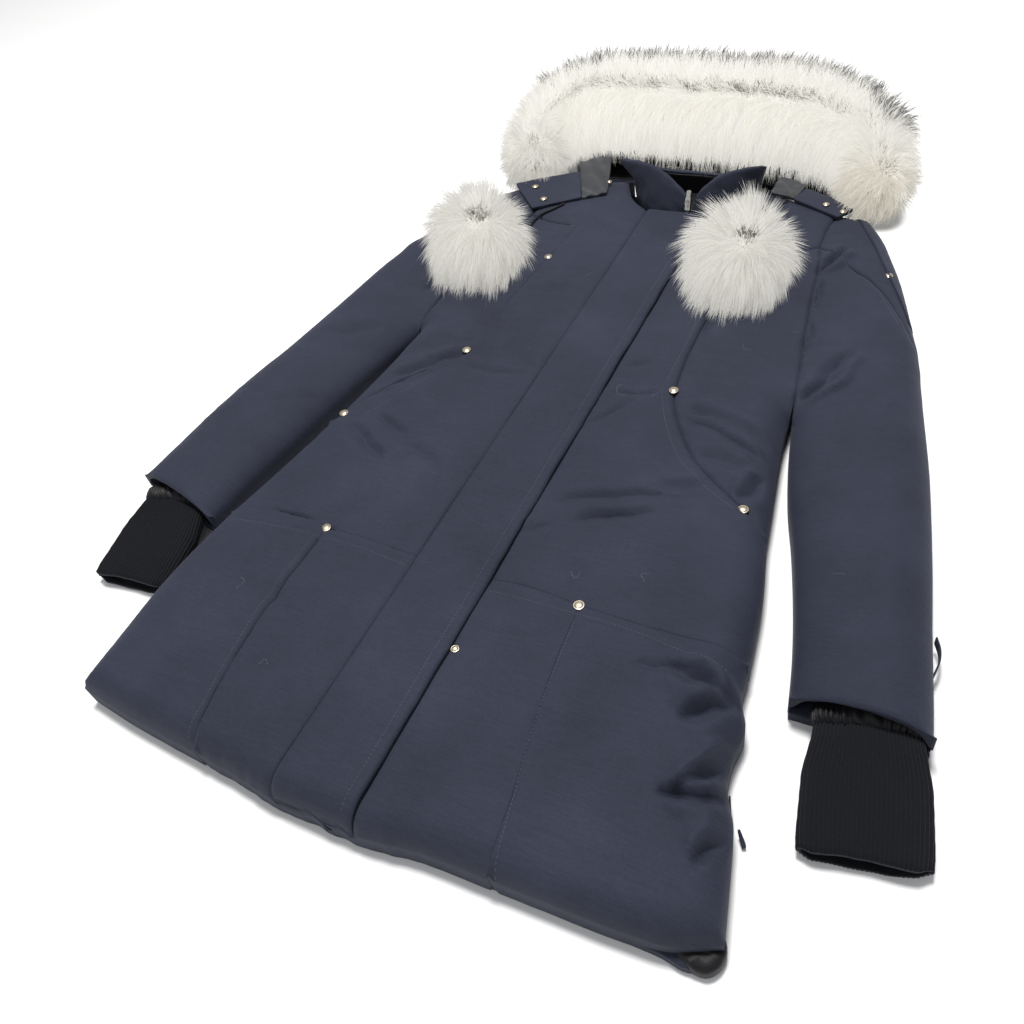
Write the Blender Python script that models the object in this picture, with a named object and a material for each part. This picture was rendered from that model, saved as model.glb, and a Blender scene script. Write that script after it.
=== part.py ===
"""Fur trimmed down parka, laid out face up on a table. Blender 4.5, metres, +Z up.

+X is the wearer's left, +Y runs from the hem to the hood, and z = 0 is the table.
The body is a flat back panel with the padded front panels lying on it. Each sleeve is an
under sleeve on the table with an arched top sleeve over it, open at the cuff.
"""
import bpy
import bmesh
import math
import numpy as np

GAP = 0.0003              # clearance between two pieces that touch
SEAM_HALF = 0.0002        # how far a panel's edge stands back from its seam line

# Garment sizes
BACK_THICK = 0.012        # padded back panel and under sleeves
BODY_TOP = 0.043          # height of the body over the table
SLEEVE_TOP = 0.052        # height of a sleeve
EDGE_TOP = 0.021          # height of a front panel where it meets the side seam
EDGE_ROLL = 0.034         # width over which an edge rounds up
SHELL_WALL = 0.016        # padded wall of the top sleeve
SLEEVE_HEM_WALL = 0.006   # the sleeve thins to its turned hem
SLEEVE_HEM_ROWS = 3
BAND_THICK = 0.0034       # band over the outside of the left sleeve
SEAM_TROUGH = 0.0022      # how deep a topstitched seam sits
PLACKET_THICK = 0.0062    # storm placket
PLACKET_RECESS = 0.0058   # the fronts under the placket lie this much lower
FREE_EDGE_STEP = 0.0030   # the left front beyond the placket's free edge lies lower
ZIP_X = 0.011             # centre of the front zip
ZIP_HALF = 0.0032
ZIP_THICK = 0.0030
RIB_COUNT = 44            # knit ribs round one cuff
RIB_DEPTH = 0.0011
RIB_WALL = 0.0030


def table(names, *rows):
    """A short table as one list of values for each named column."""
    return {name: [row[i] for row in rows] for i, name in enumerate(names.split())}


def spline(points, count):
    """A smooth curve through a few points, read at count equal steps of its length."""
    points = np.array(points, dtype=float)
    padded = np.vstack([2 * points[0] - points[1], points, 2 * points[-1] - points[-2]])
    fine = []
    for i in range(1, len(padded) - 2):
        a, b, c, d = padded[i - 1:i + 3]
        for t in np.linspace(0, 1, 24, endpoint=False):
            fine.append(0.5 * (2 * b + (c - a) * t + (2 * a - 5 * b + 4 * c - d) * t * t
                               + (3 * b - a - 3 * c + d) * t ** 3))
    fine.append(points[-1])
    fine = np.array(fine)
    along = np.concatenate([[0], np.cumsum(np.linalg.norm(np.diff(fine, axis=0), axis=1))])
    steps = np.asarray(count) * along[-1] if np.ndim(count) else np.linspace(0, along[-1], count)
    return np.stack([np.interp(steps, along, fine[:, k]) for k in range(fine.shape[1])], axis=1)


def columns(tab, *names):
    """Named columns of a table side by side, one row for each point."""
    return np.array([tab[name] for name in names], dtype=float).T


# Side edges of the body, from the hem to the armpit
SIDE_RIGHT = table("x y", (-0.262, -0.008), (-0.267, 0.050), (-0.269, 0.105), (-0.266, 0.155),
                   (-0.259, 0.205), (-0.243, 0.290), (-0.233, 0.345), (-0.226, 0.400),
                   (-0.219, 0.470), (-0.216, 0.530))
SIDE_LEFT = table("x y", (0.304, 0.004), (0.296, 0.040), (0.286, 0.082), (0.270, 0.117),
                  (0.275, 0.146), (0.263, 0.180), (0.261, 0.205), (0.252, 0.276),
                  (0.239, 0.335), (0.229, 0.400), (0.221, 0.450), (0.218, 0.500))
# Seams of the fronts, in plan
HEM_RIGHT = table("x y", (-0.038, -0.027), (-0.120, -0.020), (-0.200, -0.015), (-0.262, -0.008))
HEM_LEFT = table("x y", (0.036, -0.027), (0.110, -0.019), (0.200, -0.016), (0.255, -0.013),
                 (0.280, -0.008), (0.304, 0.004))
BACK_HEM_LEFT = table("x y", (0.200, -0.016), (0.262, -0.0145), (0.284, -0.0165),
                      (0.296, -0.0135), (0.305, -0.004), (0.306, 0.004))
HIP_RIGHT = table("x y", (-0.041, 0.208), (-0.107, 0.211), (-0.146, 0.211), (-0.180, 0.215),
                  (-0.238, 0.208), (-0.259, 0.205))
HIP_LEFT = table("x y", (0.036, 0.208), (0.080, 0.210), (0.118, 0.207), (0.180, 0.205),
                 (0.232, 0.207), (0.261, 0.205))
HIP_SPLIT_RIGHT = table("x y", (-0.121, -0.020), (-0.132, 0.030), (-0.138, 0.076),
                        (-0.141, 0.133), (-0.141, 0.211))
HIP_SPLIT_LEFT = table("x y", (0.145, -0.018), (0.140, 0.035), (0.130, 0.094), (0.123, 0.150),
                       (0.119, 0.207))
POCKET_RIGHT = table("x y", (-0.233, 0.345), (-0.207, 0.385), (-0.180, 0.419), (-0.152, 0.450),
                     (-0.133, 0.481))
POCKET_LEFT = table("x y", (0.239, 0.335), (0.205, 0.356), (0.168, 0.381), (0.137, 0.415),
                    (0.117, 0.450), (0.105, 0.480))
CHEST_RIGHT = table("x y", (-0.133, 0.481), (-0.130, 0.520), (-0.126, 0.590), (-0.119, 0.665),
                    (-0.113, 0.745))
CHEST_LEFT = table("x y", (0.105, 0.480), (0.100, 0.530), (0.098, 0.600), (0.099, 0.670),
                   (0.103, 0.745))
YOKE_RIGHT = table("x y", (-0.113, 0.745), (-0.150, 0.747), (-0.183, 0.758))
YOKE_LEFT = table("x y", (0.103, 0.745), (0.150, 0.744), (0.180, 0.758))
ARMHOLE_RIGHT = table("x y", (-0.216, 0.530), (-0.209, 0.590), (-0.201, 0.645), (-0.193, 0.700),
                      (-0.183, 0.758), (-0.181, 0.800), (-0.187, 0.845))
ARMHOLE_LEFT = table("x y", (0.218, 0.500), (0.208, 0.573), (0.199, 0.629), (0.193, 0.678),
                     (0.188, 0.720), (0.180, 0.758), (0.180, 0.800), (0.186, 0.845))
SHOULDER_RIGHT = table("x y", (-0.187, 0.845), (-0.130, 0.862), (-0.088, 0.876))
SHOULDER_LEFT = table("x y", (0.186, 0.845), (0.135, 0.862), (0.088, 0.876))
NECK_RIGHT = table("x y", (-0.038, 0.797), (-0.066, 0.818), (-0.083, 0.848), (-0.088, 0.876))
NECK_LEFT = table("x y", (0.036, 0.797), (0.066, 0.818), (0.083, 0.848), (0.088, 0.876))
NECK_BACK = table("x y", (-0.088, 0.876), (-0.062, 0.905), (0.0, 0.917), (0.062, 0.905),
                  (0.088, 0.876))
# Sleeves: the two edges of each, from the cuff hem upwards, and the seam of the upper panel
SLEEVE_IN_RIGHT = table("x y", (-0.276, 0.190), (-0.269, 0.250), (-0.257, 0.320),
                        (-0.246, 0.390), (-0.234, 0.455), (-0.216, 0.530))
SLEEVE_OUT_RIGHT = table("x y", (-0.383, 0.214), (-0.381, 0.250), (-0.376, 0.320),
                         (-0.367, 0.390), (-0.357, 0.440), (-0.345, 0.520), (-0.334, 0.600),
                         (-0.325, 0.645))
SLEEVE_IN_LEFT = table("x y", (0.296, 0.186), (0.287, 0.235), (0.275, 0.285), (0.259, 0.341),
                       (0.243, 0.390), (0.229, 0.445), (0.218, 0.500))
SLEEVE_OUT_LEFT = table("x y", (0.398, 0.188), (0.392, 0.225), (0.382, 0.280), (0.372, 0.340),
                        (0.361, 0.400), (0.350, 0.455), (0.334, 0.522), (0.317, 0.595))
CAP_SEAM_RIGHT = table("x y", (-0.183, 0.758), (-0.205, 0.737), (-0.236, 0.712),
                       (-0.268, 0.690), (-0.300, 0.665), (-0.325, 0.645))
CAP_SEAM_LEFT = table("x y", (0.180, 0.758), (0.202, 0.742), (0.230, 0.712), (0.256, 0.690),
                      (0.285, 0.650), (0.317, 0.595))
CAP_OUT_RIGHT = table("x y", (-0.187, 0.845), (-0.215, 0.841), (-0.243, 0.820),
                      (-0.268, 0.790), (-0.292, 0.745), (-0.312, 0.690), (-0.325, 0.655))
CAP_OUT_LEFT = table("x y", (0.186, 0.845), (0.207, 0.846), (0.231, 0.822), (0.254, 0.775),
                     (0.276, 0.723), (0.296, 0.664), (0.314, 0.608))
# Main folds of the fronts: a soft trough (depth > 0) or ridge from one end to the other
FOLDS = table("x0 y0 x1 y1 width depth",
              (0.150, 0.455, 0.215, 0.400, 0.016, 0.0040),
              (0.060, 0.330, 0.190, 0.300, 0.020, 0.0022),
              (0.205, 0.172, 0.262, 0.178, 0.013, 0.0060),
              (0.222, 0.116, 0.268, 0.117, 0.013, 0.0075),
              (-0.225, 0.330, -0.160, 0.300, 0.018, 0.0035),
              (-0.205, 0.440, -0.140, 0.425, 0.016, 0.0030),
              (-0.200, 0.560, -0.150, 0.600, 0.018, 0.0030),
              (0.200, 0.700, 0.240, 0.730, 0.014, 0.0090),
              (0.175, 0.640, 0.120, 0.600, 0.018, 0.0030))

# Knit cuffs: where each starts inside its sleeve hem and where it ends, and its rings
RIB_OVAL = 0.62           # exponent of the oval: 1 is an ellipse, less is boxier
RIB_CUFFS = {
    "right": dict(start=(-0.3300, 0.2086), end=(-0.3185, 0.1060)),
    "left": dict(start=(0.3517, 0.1950), end=(0.3715, 0.0930)),
}
RIB_RINGS = table("along low half_width half_height",
                  (-0.022, 0.0126, 0.0340, 0.0075), (0.020, 0.0126, 0.0372, 0.0088),
                  (0.046, 0.0030, 0.0425, 0.0115), (0.070, 0.0, 0.0430, 0.0115),
                  (0.104, 0.0, 0.0435, 0.0110))
# Collar halves, from the zip round to the middle of the back
COLLAR_FACE = (0.0, -0.0010, 0.0020)        # outer face in from the seam: foot, middle, head
COLLAR_BACK = (0.0085, 0.0095, 0.0070)      # inner face in from the seam
LINING_CLEAR = 0.0016
LINING_THICK = 0.0018
COLLAR_STEPS = 13
COLLAR_BEND = 0.22        # share of the lean that the collar has at its middle height
COLLAR = {
    "right": table("base_x base_y top_x top_y top_z turn",
                   (0.0075, 0.8000, 0.0065, 0.8070, 0.056, -1),
                   (-0.028, 0.8020, -0.020, 0.8200, 0.072, -1),
                   (-0.056, 0.8220, -0.055, 0.8335, 0.080, -1),
                   (-0.076, 0.8500, -0.083, 0.8500, 0.082, -1),
                   (-0.079, 0.8750, -0.087, 0.8720, 0.072, -1),
                   (-0.056, 0.8980, -0.060, 0.8940, 0.045, -1),
                   (-0.0004, 0.9080, -0.0004, 0.9040, 0.039, -1)),
    "left": table("base_x base_y top_x top_y top_z turn",
                  (0.0145, 0.8000, 0.0155, 0.8070, 0.056, 1),
                  (0.030, 0.8020, 0.032, 0.8180, 0.070, 1),
                  (0.056, 0.8220, 0.056, 0.8335, 0.079, 1),
                  (0.076, 0.8500, 0.083, 0.8500, 0.082, 1),
                  (0.079, 0.8750, 0.087, 0.8720, 0.072, 1),
                  (0.056, 0.8980, 0.060, 0.8940, 0.045, 1),
                  (0.0004, 0.9080, 0.0004, 0.9040, 0.039, 1)),
}
NECK_LINING = table("x y", (0.0, 0.8180), (0.036, 0.8270), (0.056, 0.8500), (0.057, 0.8700),
                    (0.038, 0.8840), (0.0, 0.8900), (-0.038, 0.8840), (-0.057, 0.8700),
                    (-0.056, 0.8500), (-0.036, 0.8270), (0.0, 0.8180))
# Hood, lying back
HOOD_WALL = 0.008
HOOD_LINING = 0.0015
HOOD_TOP = 0.0405
HOOD_COLUMNS = 10
HOOD_FRONT = table("x y", (-0.185, 0.910), (-0.110, 0.918), (0.0, 0.9168), (0.110, 0.918),
                   (0.165, 0.912))
HOOD_BACK = table("x y", (-0.205, 0.945), (-0.165, 1.005), (-0.070, 1.025), (0.060, 1.020),
                  (0.140, 0.990), (0.180, 0.945))
TAB_THICK = 0.0040
TAB_SPLIT = {"right": 2, "left": 2}
HOOD_TABS = {
    "right": table("near_x near_y near_z far_x far_y far_z",
                   (-0.1024, 0.8154, 0.0483, -0.1165, 0.8774, 0.0468),
                   (-0.1254, 0.8028, 0.0480, -0.1522, 0.8651, 0.0468),
                   (-0.1524, 0.7854, 0.0478, -0.1927, 0.8418, 0.0485),
                   (-0.1842, 0.7624, 0.0484, -0.2287, 0.8088, 0.0525)),
    "left": table("near_x near_y near_z far_x far_y far_z",
                  (0.0975, 0.8530, 0.0485, 0.1005, 0.8828, 0.0470),
                  (0.1105, 0.8509, 0.0480, 0.1308, 0.8731, 0.0460),
                  (0.1456, 0.8341, 0.0474, 0.1636, 0.8590, 0.0460),
                  (0.1865, 0.8125, 0.0477, 0.1995, 0.8350, 0.0462)),
}
# Fur ruff: its middle line and size from one end to the other, and its section
RUFF_STEPS = 34
RUFF_FLOOR = 0.0006
RUFF_END = 0.75
RUFF = table("x y z size",
             (-0.228, 0.858, 0.053, 0.036), (-0.244, 0.895, 0.057, 0.046),
             (-0.228, 0.948, 0.071, 0.056), (-0.170, 0.972, 0.082, 0.060),
             (-0.090, 0.972, 0.085, 0.062), (0.0, 0.968, 0.086, 0.062),
             (0.080, 0.965, 0.086, 0.062), (0.145, 0.955, 0.081, 0.059),
             (0.196, 0.930, 0.068, 0.052), (0.217, 0.892, 0.058, 0.044),
             (0.214, 0.867, 0.054, 0.036))
RUFF_SECTION = table("out up",
                     (1.02, 0.05), (0.90, 0.45), (0.60, 0.78), (0.20, 0.96), (-0.22, 0.96),
                     (-0.62, 0.76), (-0.92, 0.42), (-1.02, 0.0), (-0.98, -0.38),
                     (-0.80, -0.66), (-0.30, -0.69), (0.30, -0.69), (0.80, -0.66),
                     (0.98, -0.35))
# Pompoms
POM_CORE = 0.038
POM_RADIUS = 0.066
POM_ROOT = 0.80
POM_FOOT = 0.003
POM_LEAN = (0.04, -0.06, -0.05)
POMPOMS = {
    "right": dict(x=-0.186, y=0.626, lift=-0.0007, seed=3),
    "left": dict(x=0.117, y=0.654, lift=0.0012, seed=5),
}
# Snap caps and rivets
RIVETS = table("name x y radius",
               ("chest_right", -0.1195, 0.670, 0.0045), ("pocket_right", -0.1335, 0.4825, 0.0047),
               ("pocket_side_right", -0.2170, 0.3560, 0.0047), ("hip_right", -0.1415, 0.2100, 0.0047),
               ("chest_left", 0.0990, 0.6700, 0.0045), ("pocket_left", 0.1050, 0.4790, 0.0047),
               ("pocket_side_left", 0.2130, 0.3500, 0.0047), ("hip_left", 0.1185, 0.2065, 0.0047),
               ("placket", 0.0400, 0.1330, 0.0035), ("arm_left", 0.2620, 0.7170, 0.0042),
               ("tab_outer_right", -0.2000, 0.8080, 0.0042),
               ("tab_inner_right", -0.1770, 0.7840, 0.0042),
               ("tab_neck_right", -0.1080, 0.8400, 0.0030),
               ("tab_outer_left", 0.1900, 0.8240, 0.0036),
               ("tab_inner_left", 0.1680, 0.8360, 0.0036))
# Drawcords of the pompoms, from under the hood tabs
CORD_RADIUS = 0.0015
CORD_POINTS = 24
CORDS = {
    "right": table("x y z", (-0.1485, 0.7850, 0.0449), (-0.156, 0.773, 0.0449),
                   (-0.168, 0.755, 0.0449), (-0.171, 0.730, 0.0449), (-0.168, 0.705, 0.0449),
                   (-0.170, 0.680, 0.0449), (-0.174, 0.655, 0.0449)),
    "left": table("x y z", (0.1215, 0.8425, 0.0449), (0.113, 0.822, 0.0449),
                  (0.107, 0.795, 0.0449), (0.108, 0.765, 0.0449), (0.112, 0.735, 0.0449),
                  (0.1145, 0.705, 0.0449), (0.1155, 0.680, 0.0449)),
}
# Zip above the placket, its slider and its pull tab
ZIP_TOP = table("y z", (0.7988, 0.0372), (0.8010, 0.0465), (0.8035, 0.0520), (0.8060, 0.0570))
ZIP_SLOPE = math.radians(64)
SLIDER = dict(x=ZIP_X, y=0.8010, z=0.0495, length=0.010, width=0.006, thick=0.0020)
BRIDGE = dict(y0=-0.0014, y1=0.0048, bar=0.0012, height=0.0036, width=0.0016)
PULL_PIVOT = (0.0017, 0.0032)               # along and out from the slider's middle
PULL = dict(length=0.0165, width=0.0064, thick=0.0012, eye_width=0.0046, eye_length=0.0042)
# Side vent on the left: its zip beside the side seam and the cord pull on it
VENT = dict(y0=0.020, y1=0.116, low=0.0040, high=0.0170, clear=0.0008, thick=0.0018)
VENT_PULL = table("x y z half", (0.2895, 0.0850, 0.0100, 0.0012), (0.2928, 0.0800, 0.0070, 0.0018),
                  (0.2975, 0.0740, 0.0040, 0.0024), (0.3000, 0.0690, 0.0034, 0.0022))
SLEEVE_LOOP = table("x y", (0.3845, 0.2860), (0.3920, 0.2760), (0.3945, 0.2650), (0.3915, 0.2540),
                    (0.3895, 0.2480))
LOOP_SIZE = dict(low=0.010, high=0.019, half=0.0010)

SIDES = {
    "right": dict(sign=-1, side=SIDE_RIGHT, hem=HEM_RIGHT, hip=HIP_RIGHT, split=HIP_SPLIT_RIGHT,
                  pocket=POCKET_RIGHT, chest=CHEST_RIGHT, yoke=YOKE_RIGHT, armhole=ARMHOLE_RIGHT,
                  shoulder=SHOULDER_RIGHT, neck=NECK_RIGHT, sleeve_in=SLEEVE_IN_RIGHT,
                  sleeve_out=SLEEVE_OUT_RIGHT, cap_seam=CAP_SEAM_RIGHT, cap_out=CAP_OUT_RIGHT),
    "left": dict(sign=1, side=SIDE_LEFT, hem=HEM_LEFT, hip=HIP_LEFT, split=HIP_SPLIT_LEFT,
                 pocket=POCKET_LEFT, chest=CHEST_LEFT, yoke=YOKE_LEFT, armhole=ARMHOLE_LEFT,
                 shoulder=SHOULDER_LEFT, neck=NECK_LEFT, sleeve_in=SLEEVE_IN_LEFT,
                 sleeve_out=SLEEVE_OUT_LEFT, cap_seam=CAP_SEAM_LEFT, cap_out=CAP_OUT_LEFT),
}
for side_name, part in SIDES.items():
    for seam_name in list(part):
        if seam_name != "sign":
            part[seam_name] = columns(part[seam_name], "x", "y")

# How many steps each stretch of a front's outer edge has
STEPS = dict(side=4, pocket=4, chest=10, yoke=4, armhole=3, shoulder=4)
ARMHOLE_LOW = STEPS["chest"] - STEPS["side"]      # steps from the armpit to the yoke seam
CAP_STEPS = 7
CAP_FRACTION = (0, 0.36, 0.70, 1)                 # across the cap; the arm band starts at 0.70
HEM_STEPS = 8
PLACKET_Y = table("y0 y1 steps", (0.208, 0.300, 4), (0.300, 0.450, 4), (0.450, 0.715, 10),
                  (0.715, 0.740, 4), (0.740, 0.768, 3), (0.768, 0.797, 4))
HIP_FRACTION = {"right": (0, 0.17, 0.33, 0.47, 0.62, 0.78, 0.90, 0.97, 1),
                "left": (0, 0.13, 0.25, 0.37, 0.56, 0.74, 0.88, 0.96, 1)}
SPLIT_COLUMN = 3
SLEEVE_FRACTION = (0, 0.10, 0.30, 0.55, 0.80, 0.93, 1)


def placket_rows():
    """The y of each row across the placket: hem to hip seam, then hip seam to neck."""
    rows = [np.linspace(-0.027, 0.208, HEM_STEPS + 1)]
    for y0, y1, steps in zip(PLACKET_Y["y0"], PLACKET_Y["y1"], PLACKET_Y["steps"]):
        rows.append(np.linspace(y0, y1, steps + 1)[1:])
    return np.concatenate(rows)


ROWS = placket_rows()
HIP_ROW = HEM_STEPS


def distance(point, line):
    """Shortest distance in plan from a point to a line of points."""
    a = line[:-1]
    step = line[1:] - a
    t = np.clip(np.sum((point - a) * step, axis=1) / np.sum(step * step, axis=1), 0, 1)
    return float(np.min(np.linalg.norm(a + step * t[:, None] - point, axis=1)))


def fold_depth(x, y):
    """How far the main folds sink the cloth at a place."""
    depth = 0.0
    for x0, y0, x1, y1, width, sink in zip(*(FOLDS[k] for k in ("x0", "y0", "x1", "y1",
                                                               "width", "depth"))):
        away = distance(np.array([x, y]), np.array([[x0, y0], [x1, y1]]))
        depth += sink * math.exp(-(away / width) ** 2)
    return depth


def rolled(away, low, high, width=EDGE_ROLL):
    """Height at a distance in from an outer edge: a quarter round from low up to high."""
    t = min(away / width, 1.0)
    return low + (high - low) * math.sqrt(1 - (1 - t) ** 2)


BODY_EDGE = {}
SLEEVE_EDGE = {}
for side_name, part in SIDES.items():
    BODY_EDGE[side_name] = [spline(part["hem"], 12), spline(part["side"], 24),
                            spline(part["shoulder"], 8)]
    SLEEVE_EDGE[side_name] = [spline(part["sleeve_in"], 16), spline(part["sleeve_out"], 20),
                              spline(part["cap_out"], 16)]


def body_height(x, y, side_name):
    """Top of the front panels: flat and padded inside, rounded down to the outer edges."""
    point = np.array([x, y])
    away = min(distance(point, line) for line in BODY_EDGE[side_name])
    return rolled(away, EDGE_TOP, BODY_TOP - fold_depth(x, y))


def sleeve_height(x, y, side_name):
    """Top of a sleeve, which runs into the body's height at the armhole."""
    point = np.array([x, y])
    away = min(distance(point, line) for line in SLEEVE_EDGE[side_name])
    near = min(distance(point, SIDES[side_name]["armhole"]) / 0.10, 1.0)
    top = BODY_TOP + (SLEEVE_TOP - BODY_TOP) * near
    return rolled(away, EDGE_TOP, top - fold_depth(x, y), 0.044)


def coons(left, right, low, high, fraction=None):
    """A grid of plan points filled in between four edges; rows go from low to high."""
    rows = len(left)
    cols = len(low)
    s = np.linspace(0, 1, cols) if fraction is None else np.asarray(fraction, dtype=float)
    t = np.linspace(0, 1, rows)
    grid = np.zeros((rows, cols, 2))
    for i in range(rows):
        for j in range(cols):
            across = (1 - s[j]) * left[i] + s[j] * right[i]
            along = (1 - t[i]) * low[j] + t[i] * high[j]
            corners = ((1 - t[i]) * ((1 - s[j]) * low[0] + s[j] * low[-1])
                       + t[i] * ((1 - s[j]) * high[0] + s[j] * high[-1]))
            grid[i, j] = across + along - corners
    return grid


def stand_back(grid, amount=SEAM_HALF):
    """Moves a grid's four edges in by a hair, which leaves the gap at each seam."""
    out = grid.copy()
    for edge, inner in (((0, slice(None)), (1, slice(None))), ((-1, slice(None)), (-2, slice(None))),
                        ((slice(None), 0), (slice(None), 1)), ((slice(None), -1), (slice(None), -2))):
        step = grid[inner] - grid[edge]
        length = np.linalg.norm(step, axis=1)[:, None]
        out[edge] += step / length * amount
    return out


def material(name, colour, roughness, metallic=0.0):
    mat = bpy.data.materials.new(name)
    mat.use_nodes = True
    shader = mat.node_tree.nodes["Principled BSDF"]
    shader.inputs["Base Color"].default_value = (*colour, 1)
    shader.inputs["Roughness"].default_value = roughness
    shader.inputs["Metallic"].default_value = metallic
    return mat


def add_object(name, verts, faces, mat):
    """One closed mesh with its faces turned outwards."""
    mesh = bpy.data.meshes.new(name)
    mesh.from_pydata([tuple(v) for v in verts], [], [tuple(f) for f in faces])
    work = bmesh.new()
    work.from_mesh(mesh)
    bmesh.ops.recalc_face_normals(work, faces=work.faces)
    if work.calc_volume(signed=True) < 0:
        bmesh.ops.reverse_faces(work, faces=work.faces)
    work.to_mesh(mesh)
    work.free()
    mesh.materials.append(mat)
    mesh.shade_smooth()
    mesh.set_sharp_from_angle(angle=math.radians(40))
    obj = bpy.data.objects.new(name, mesh)
    bpy.context.collection.objects.link(obj)
    return obj


def rim_loop(rows, cols):
    """Indices of a grid's outer points in order round it."""
    loop = [(0, j) for j in range(cols)] + [(i, cols - 1) for i in range(1, rows)]
    loop += [(rows - 1, j) for j in range(cols - 2, -1, -1)]
    loop += [(i, 0) for i in range(rows - 2, 0, -1)]
    return loop


def grid_faces(rows, cols, start=0):
    faces = []
    for i in range(rows - 1):
        for j in range(cols - 1):
            a = start + i * cols + j
            faces.append((a, a + 1, a + cols + 1, a + cols))
    return faces


def add_flat_based(name, top, base, mat):
    """A padded panel: a grid of top points over one flat base at height base."""
    rows, cols = top.shape[:2]
    verts = [tuple(p) for p in top.reshape(-1, 3)]
    faces = grid_faces(rows, cols)
    loop = rim_loop(rows, cols)
    upper = [i * cols + j for i, j in loop]
    lower = []
    for i, j in loop:
        lower.append(len(verts))
        verts.append((top[i, j, 0], top[i, j, 1], base))
    count = len(loop)
    for k in range(count):
        n = (k + 1) % count
        faces.append((upper[k], lower[k], lower[n], upper[n]))
    faces.append(tuple(lower))
    return add_object(name, verts, faces, mat)


def add_layer(name, top, bottom, mat):
    """A wall between a grid of top points and the same grid of bottom points."""
    rows, cols = top.shape[:2]
    verts = [tuple(p) for p in top.reshape(-1, 3)] + [tuple(p) for p in bottom.reshape(-1, 3)]
    half = rows * cols
    faces = grid_faces(rows, cols)
    faces += [tuple(reversed(f)) for f in grid_faces(rows, cols, half)]
    loop = [i * cols + j for i, j in rim_loop(rows, cols)]
    for k in range(len(loop)):
        a, b = loop[k], loop[(k + 1) % len(loop)]
        faces.append((a, half + a, half + b, b))
    return add_object(name, verts, faces, mat)


def add_slab(name, outline, thick, mat, foot=0.004):
    """A flat padded panel on the table, its lower edge rounded in."""
    outline = np.array(outline)
    count = len(outline)
    ahead = np.roll(outline, -1, axis=0) - np.roll(outline, 1, axis=0)
    normal = np.stack([ahead[:, 1], -ahead[:, 0]], axis=1)
    normal /= np.linalg.norm(normal, axis=1)[:, None]
    area = 0.5 * np.sum(outline[:, 0] * np.roll(outline[:, 1], -1)
                        - outline[:, 1] * np.roll(outline[:, 0], -1))
    if area < 0:
        normal = -normal
    rings = [(foot, 0.0), (0.0003, foot), (0.0003, thick)]
    verts = []
    faces = []
    for inset, z in rings:
        ring = outline - normal * inset
        verts += [(x, y, z) for x, y in ring]
    for r in range(len(rings) - 1):
        for k in range(count):
            n = (k + 1) % count
            faces.append((r * count + k, r * count + n, (r + 1) * count + n, (r + 1) * count + k))
    faces.append(tuple(range(count)))
    faces.append(tuple(range((len(rings) - 1) * count, len(rings) * count)))
    return add_object(name, verts, faces, mat)


def with_height(grid, height):
    """Plan grid to 3-D grid with height(x, y)."""
    z = np.array([[height(x, y) for x, y in row] for row in grid])
    return np.concatenate([grid, z[:, :, None]], axis=2)


def sink_rim(grid, sides, amount=SEAM_TROUGH):
    """Lowers the named edges of a grid, where a topstitched seam pulls the padding in."""
    if "low" in sides:
        grid[0, :, 2] -= amount
    if "high" in sides:
        grid[-1, :, 2] -= amount
    if "in" in sides:
        grid[1:-1, 0, 2] -= amount
    if "out" in sides:
        grid[1:-1, -1, 2] -= amount
    return grid


# ---------------------------------------------------------------- body

def seam_points():
    """Each seam of a side read once, so that both panels share its points."""
    shared = {}
    for side_name, part in SIDES.items():
        seams = {}
        side_low = part["side"][part["side"][:, 1] <= 0.2051]
        side_mid = part["side"][(part["side"][:, 1] >= 0.2049) & (part["side"][:, 1] <= 0.346)]
        if side_name == "left":
            side_mid = side_mid[side_mid[:, 1] <= 0.336]
        side_top = part["side"][part["side"][:, 1] >= side_mid[-1, 1] - 1e-6]
        seams["side_low"] = spline(side_low, HEM_STEPS + 1)
        seams["side_mid"] = spline(side_mid, STEPS["side"] + 1)
        seams["side_top"] = spline(side_top, STEPS["side"] + 1)
        seams["pocket"] = spline(part["pocket"], STEPS["pocket"] + 1)
        seams["chest"] = spline(part["chest"], STEPS["chest"] + 1)
        seams["yoke"] = spline(part["yoke"], STEPS["yoke"] + 1)
        corner = int(np.argmin(np.linalg.norm(part["armhole"] - part["yoke"][-1], axis=1)))
        seams["armhole_low"] = spline(part["armhole"][:corner + 1], ARMHOLE_LOW + 1)
        seams["armhole_high"] = spline(part["armhole"][corner:], CAP_FRACTION)
        seams["shoulder"] = spline(part["shoulder"], STEPS["shoulder"] + 1)
        seams["hip"] = spline(part["hip"], HIP_FRACTION[side_name])
        seams["hem"] = spline(part["hem"], HIP_FRACTION[side_name])
        seams["split"] = spline(part["split"], HEM_STEPS + 1)
        seams["neck"] = spline(part["neck"], len(HIP_FRACTION[side_name]))
        seams["cap_seam"] = spline(part["cap_seam"], CAP_STEPS + 1)
        seams["cap_out"] = spline(part["cap_out"], CAP_STEPS + 1)
        seams["hem"][SPLIT_COLUMN] = seams["split"][0]
        seams["hip"][SPLIT_COLUMN] = seams["split"][-1]
        shared[side_name] = seams
    return shared


def placket_edge(side_name, rows):
    """Where a front meets the placket: its seam on the right, its free edge on the left."""
    x = SIDES[side_name]["hip"][0, 0]
    return np.array([(x, y) for y in rows])


def under_placket(side_name, rows):
    """Columns of a front that run on under the placket, from the zip outwards."""
    if side_name == "right":
        xs = (ZIP_X - ZIP_HALF - GAP, -0.016, -0.0400)
    else:
        xs = (ZIP_X + ZIP_HALF + GAP, 0.022, 0.0349)
    return np.array([[(x, y) for x in xs] for y in rows])


def middle_height(y):
    """Height of the body along its middle, which only changes from hem to neck."""
    away = min(y + 0.027, 0.05)
    return rolled(away, EDGE_TOP, BODY_TOP)


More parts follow.
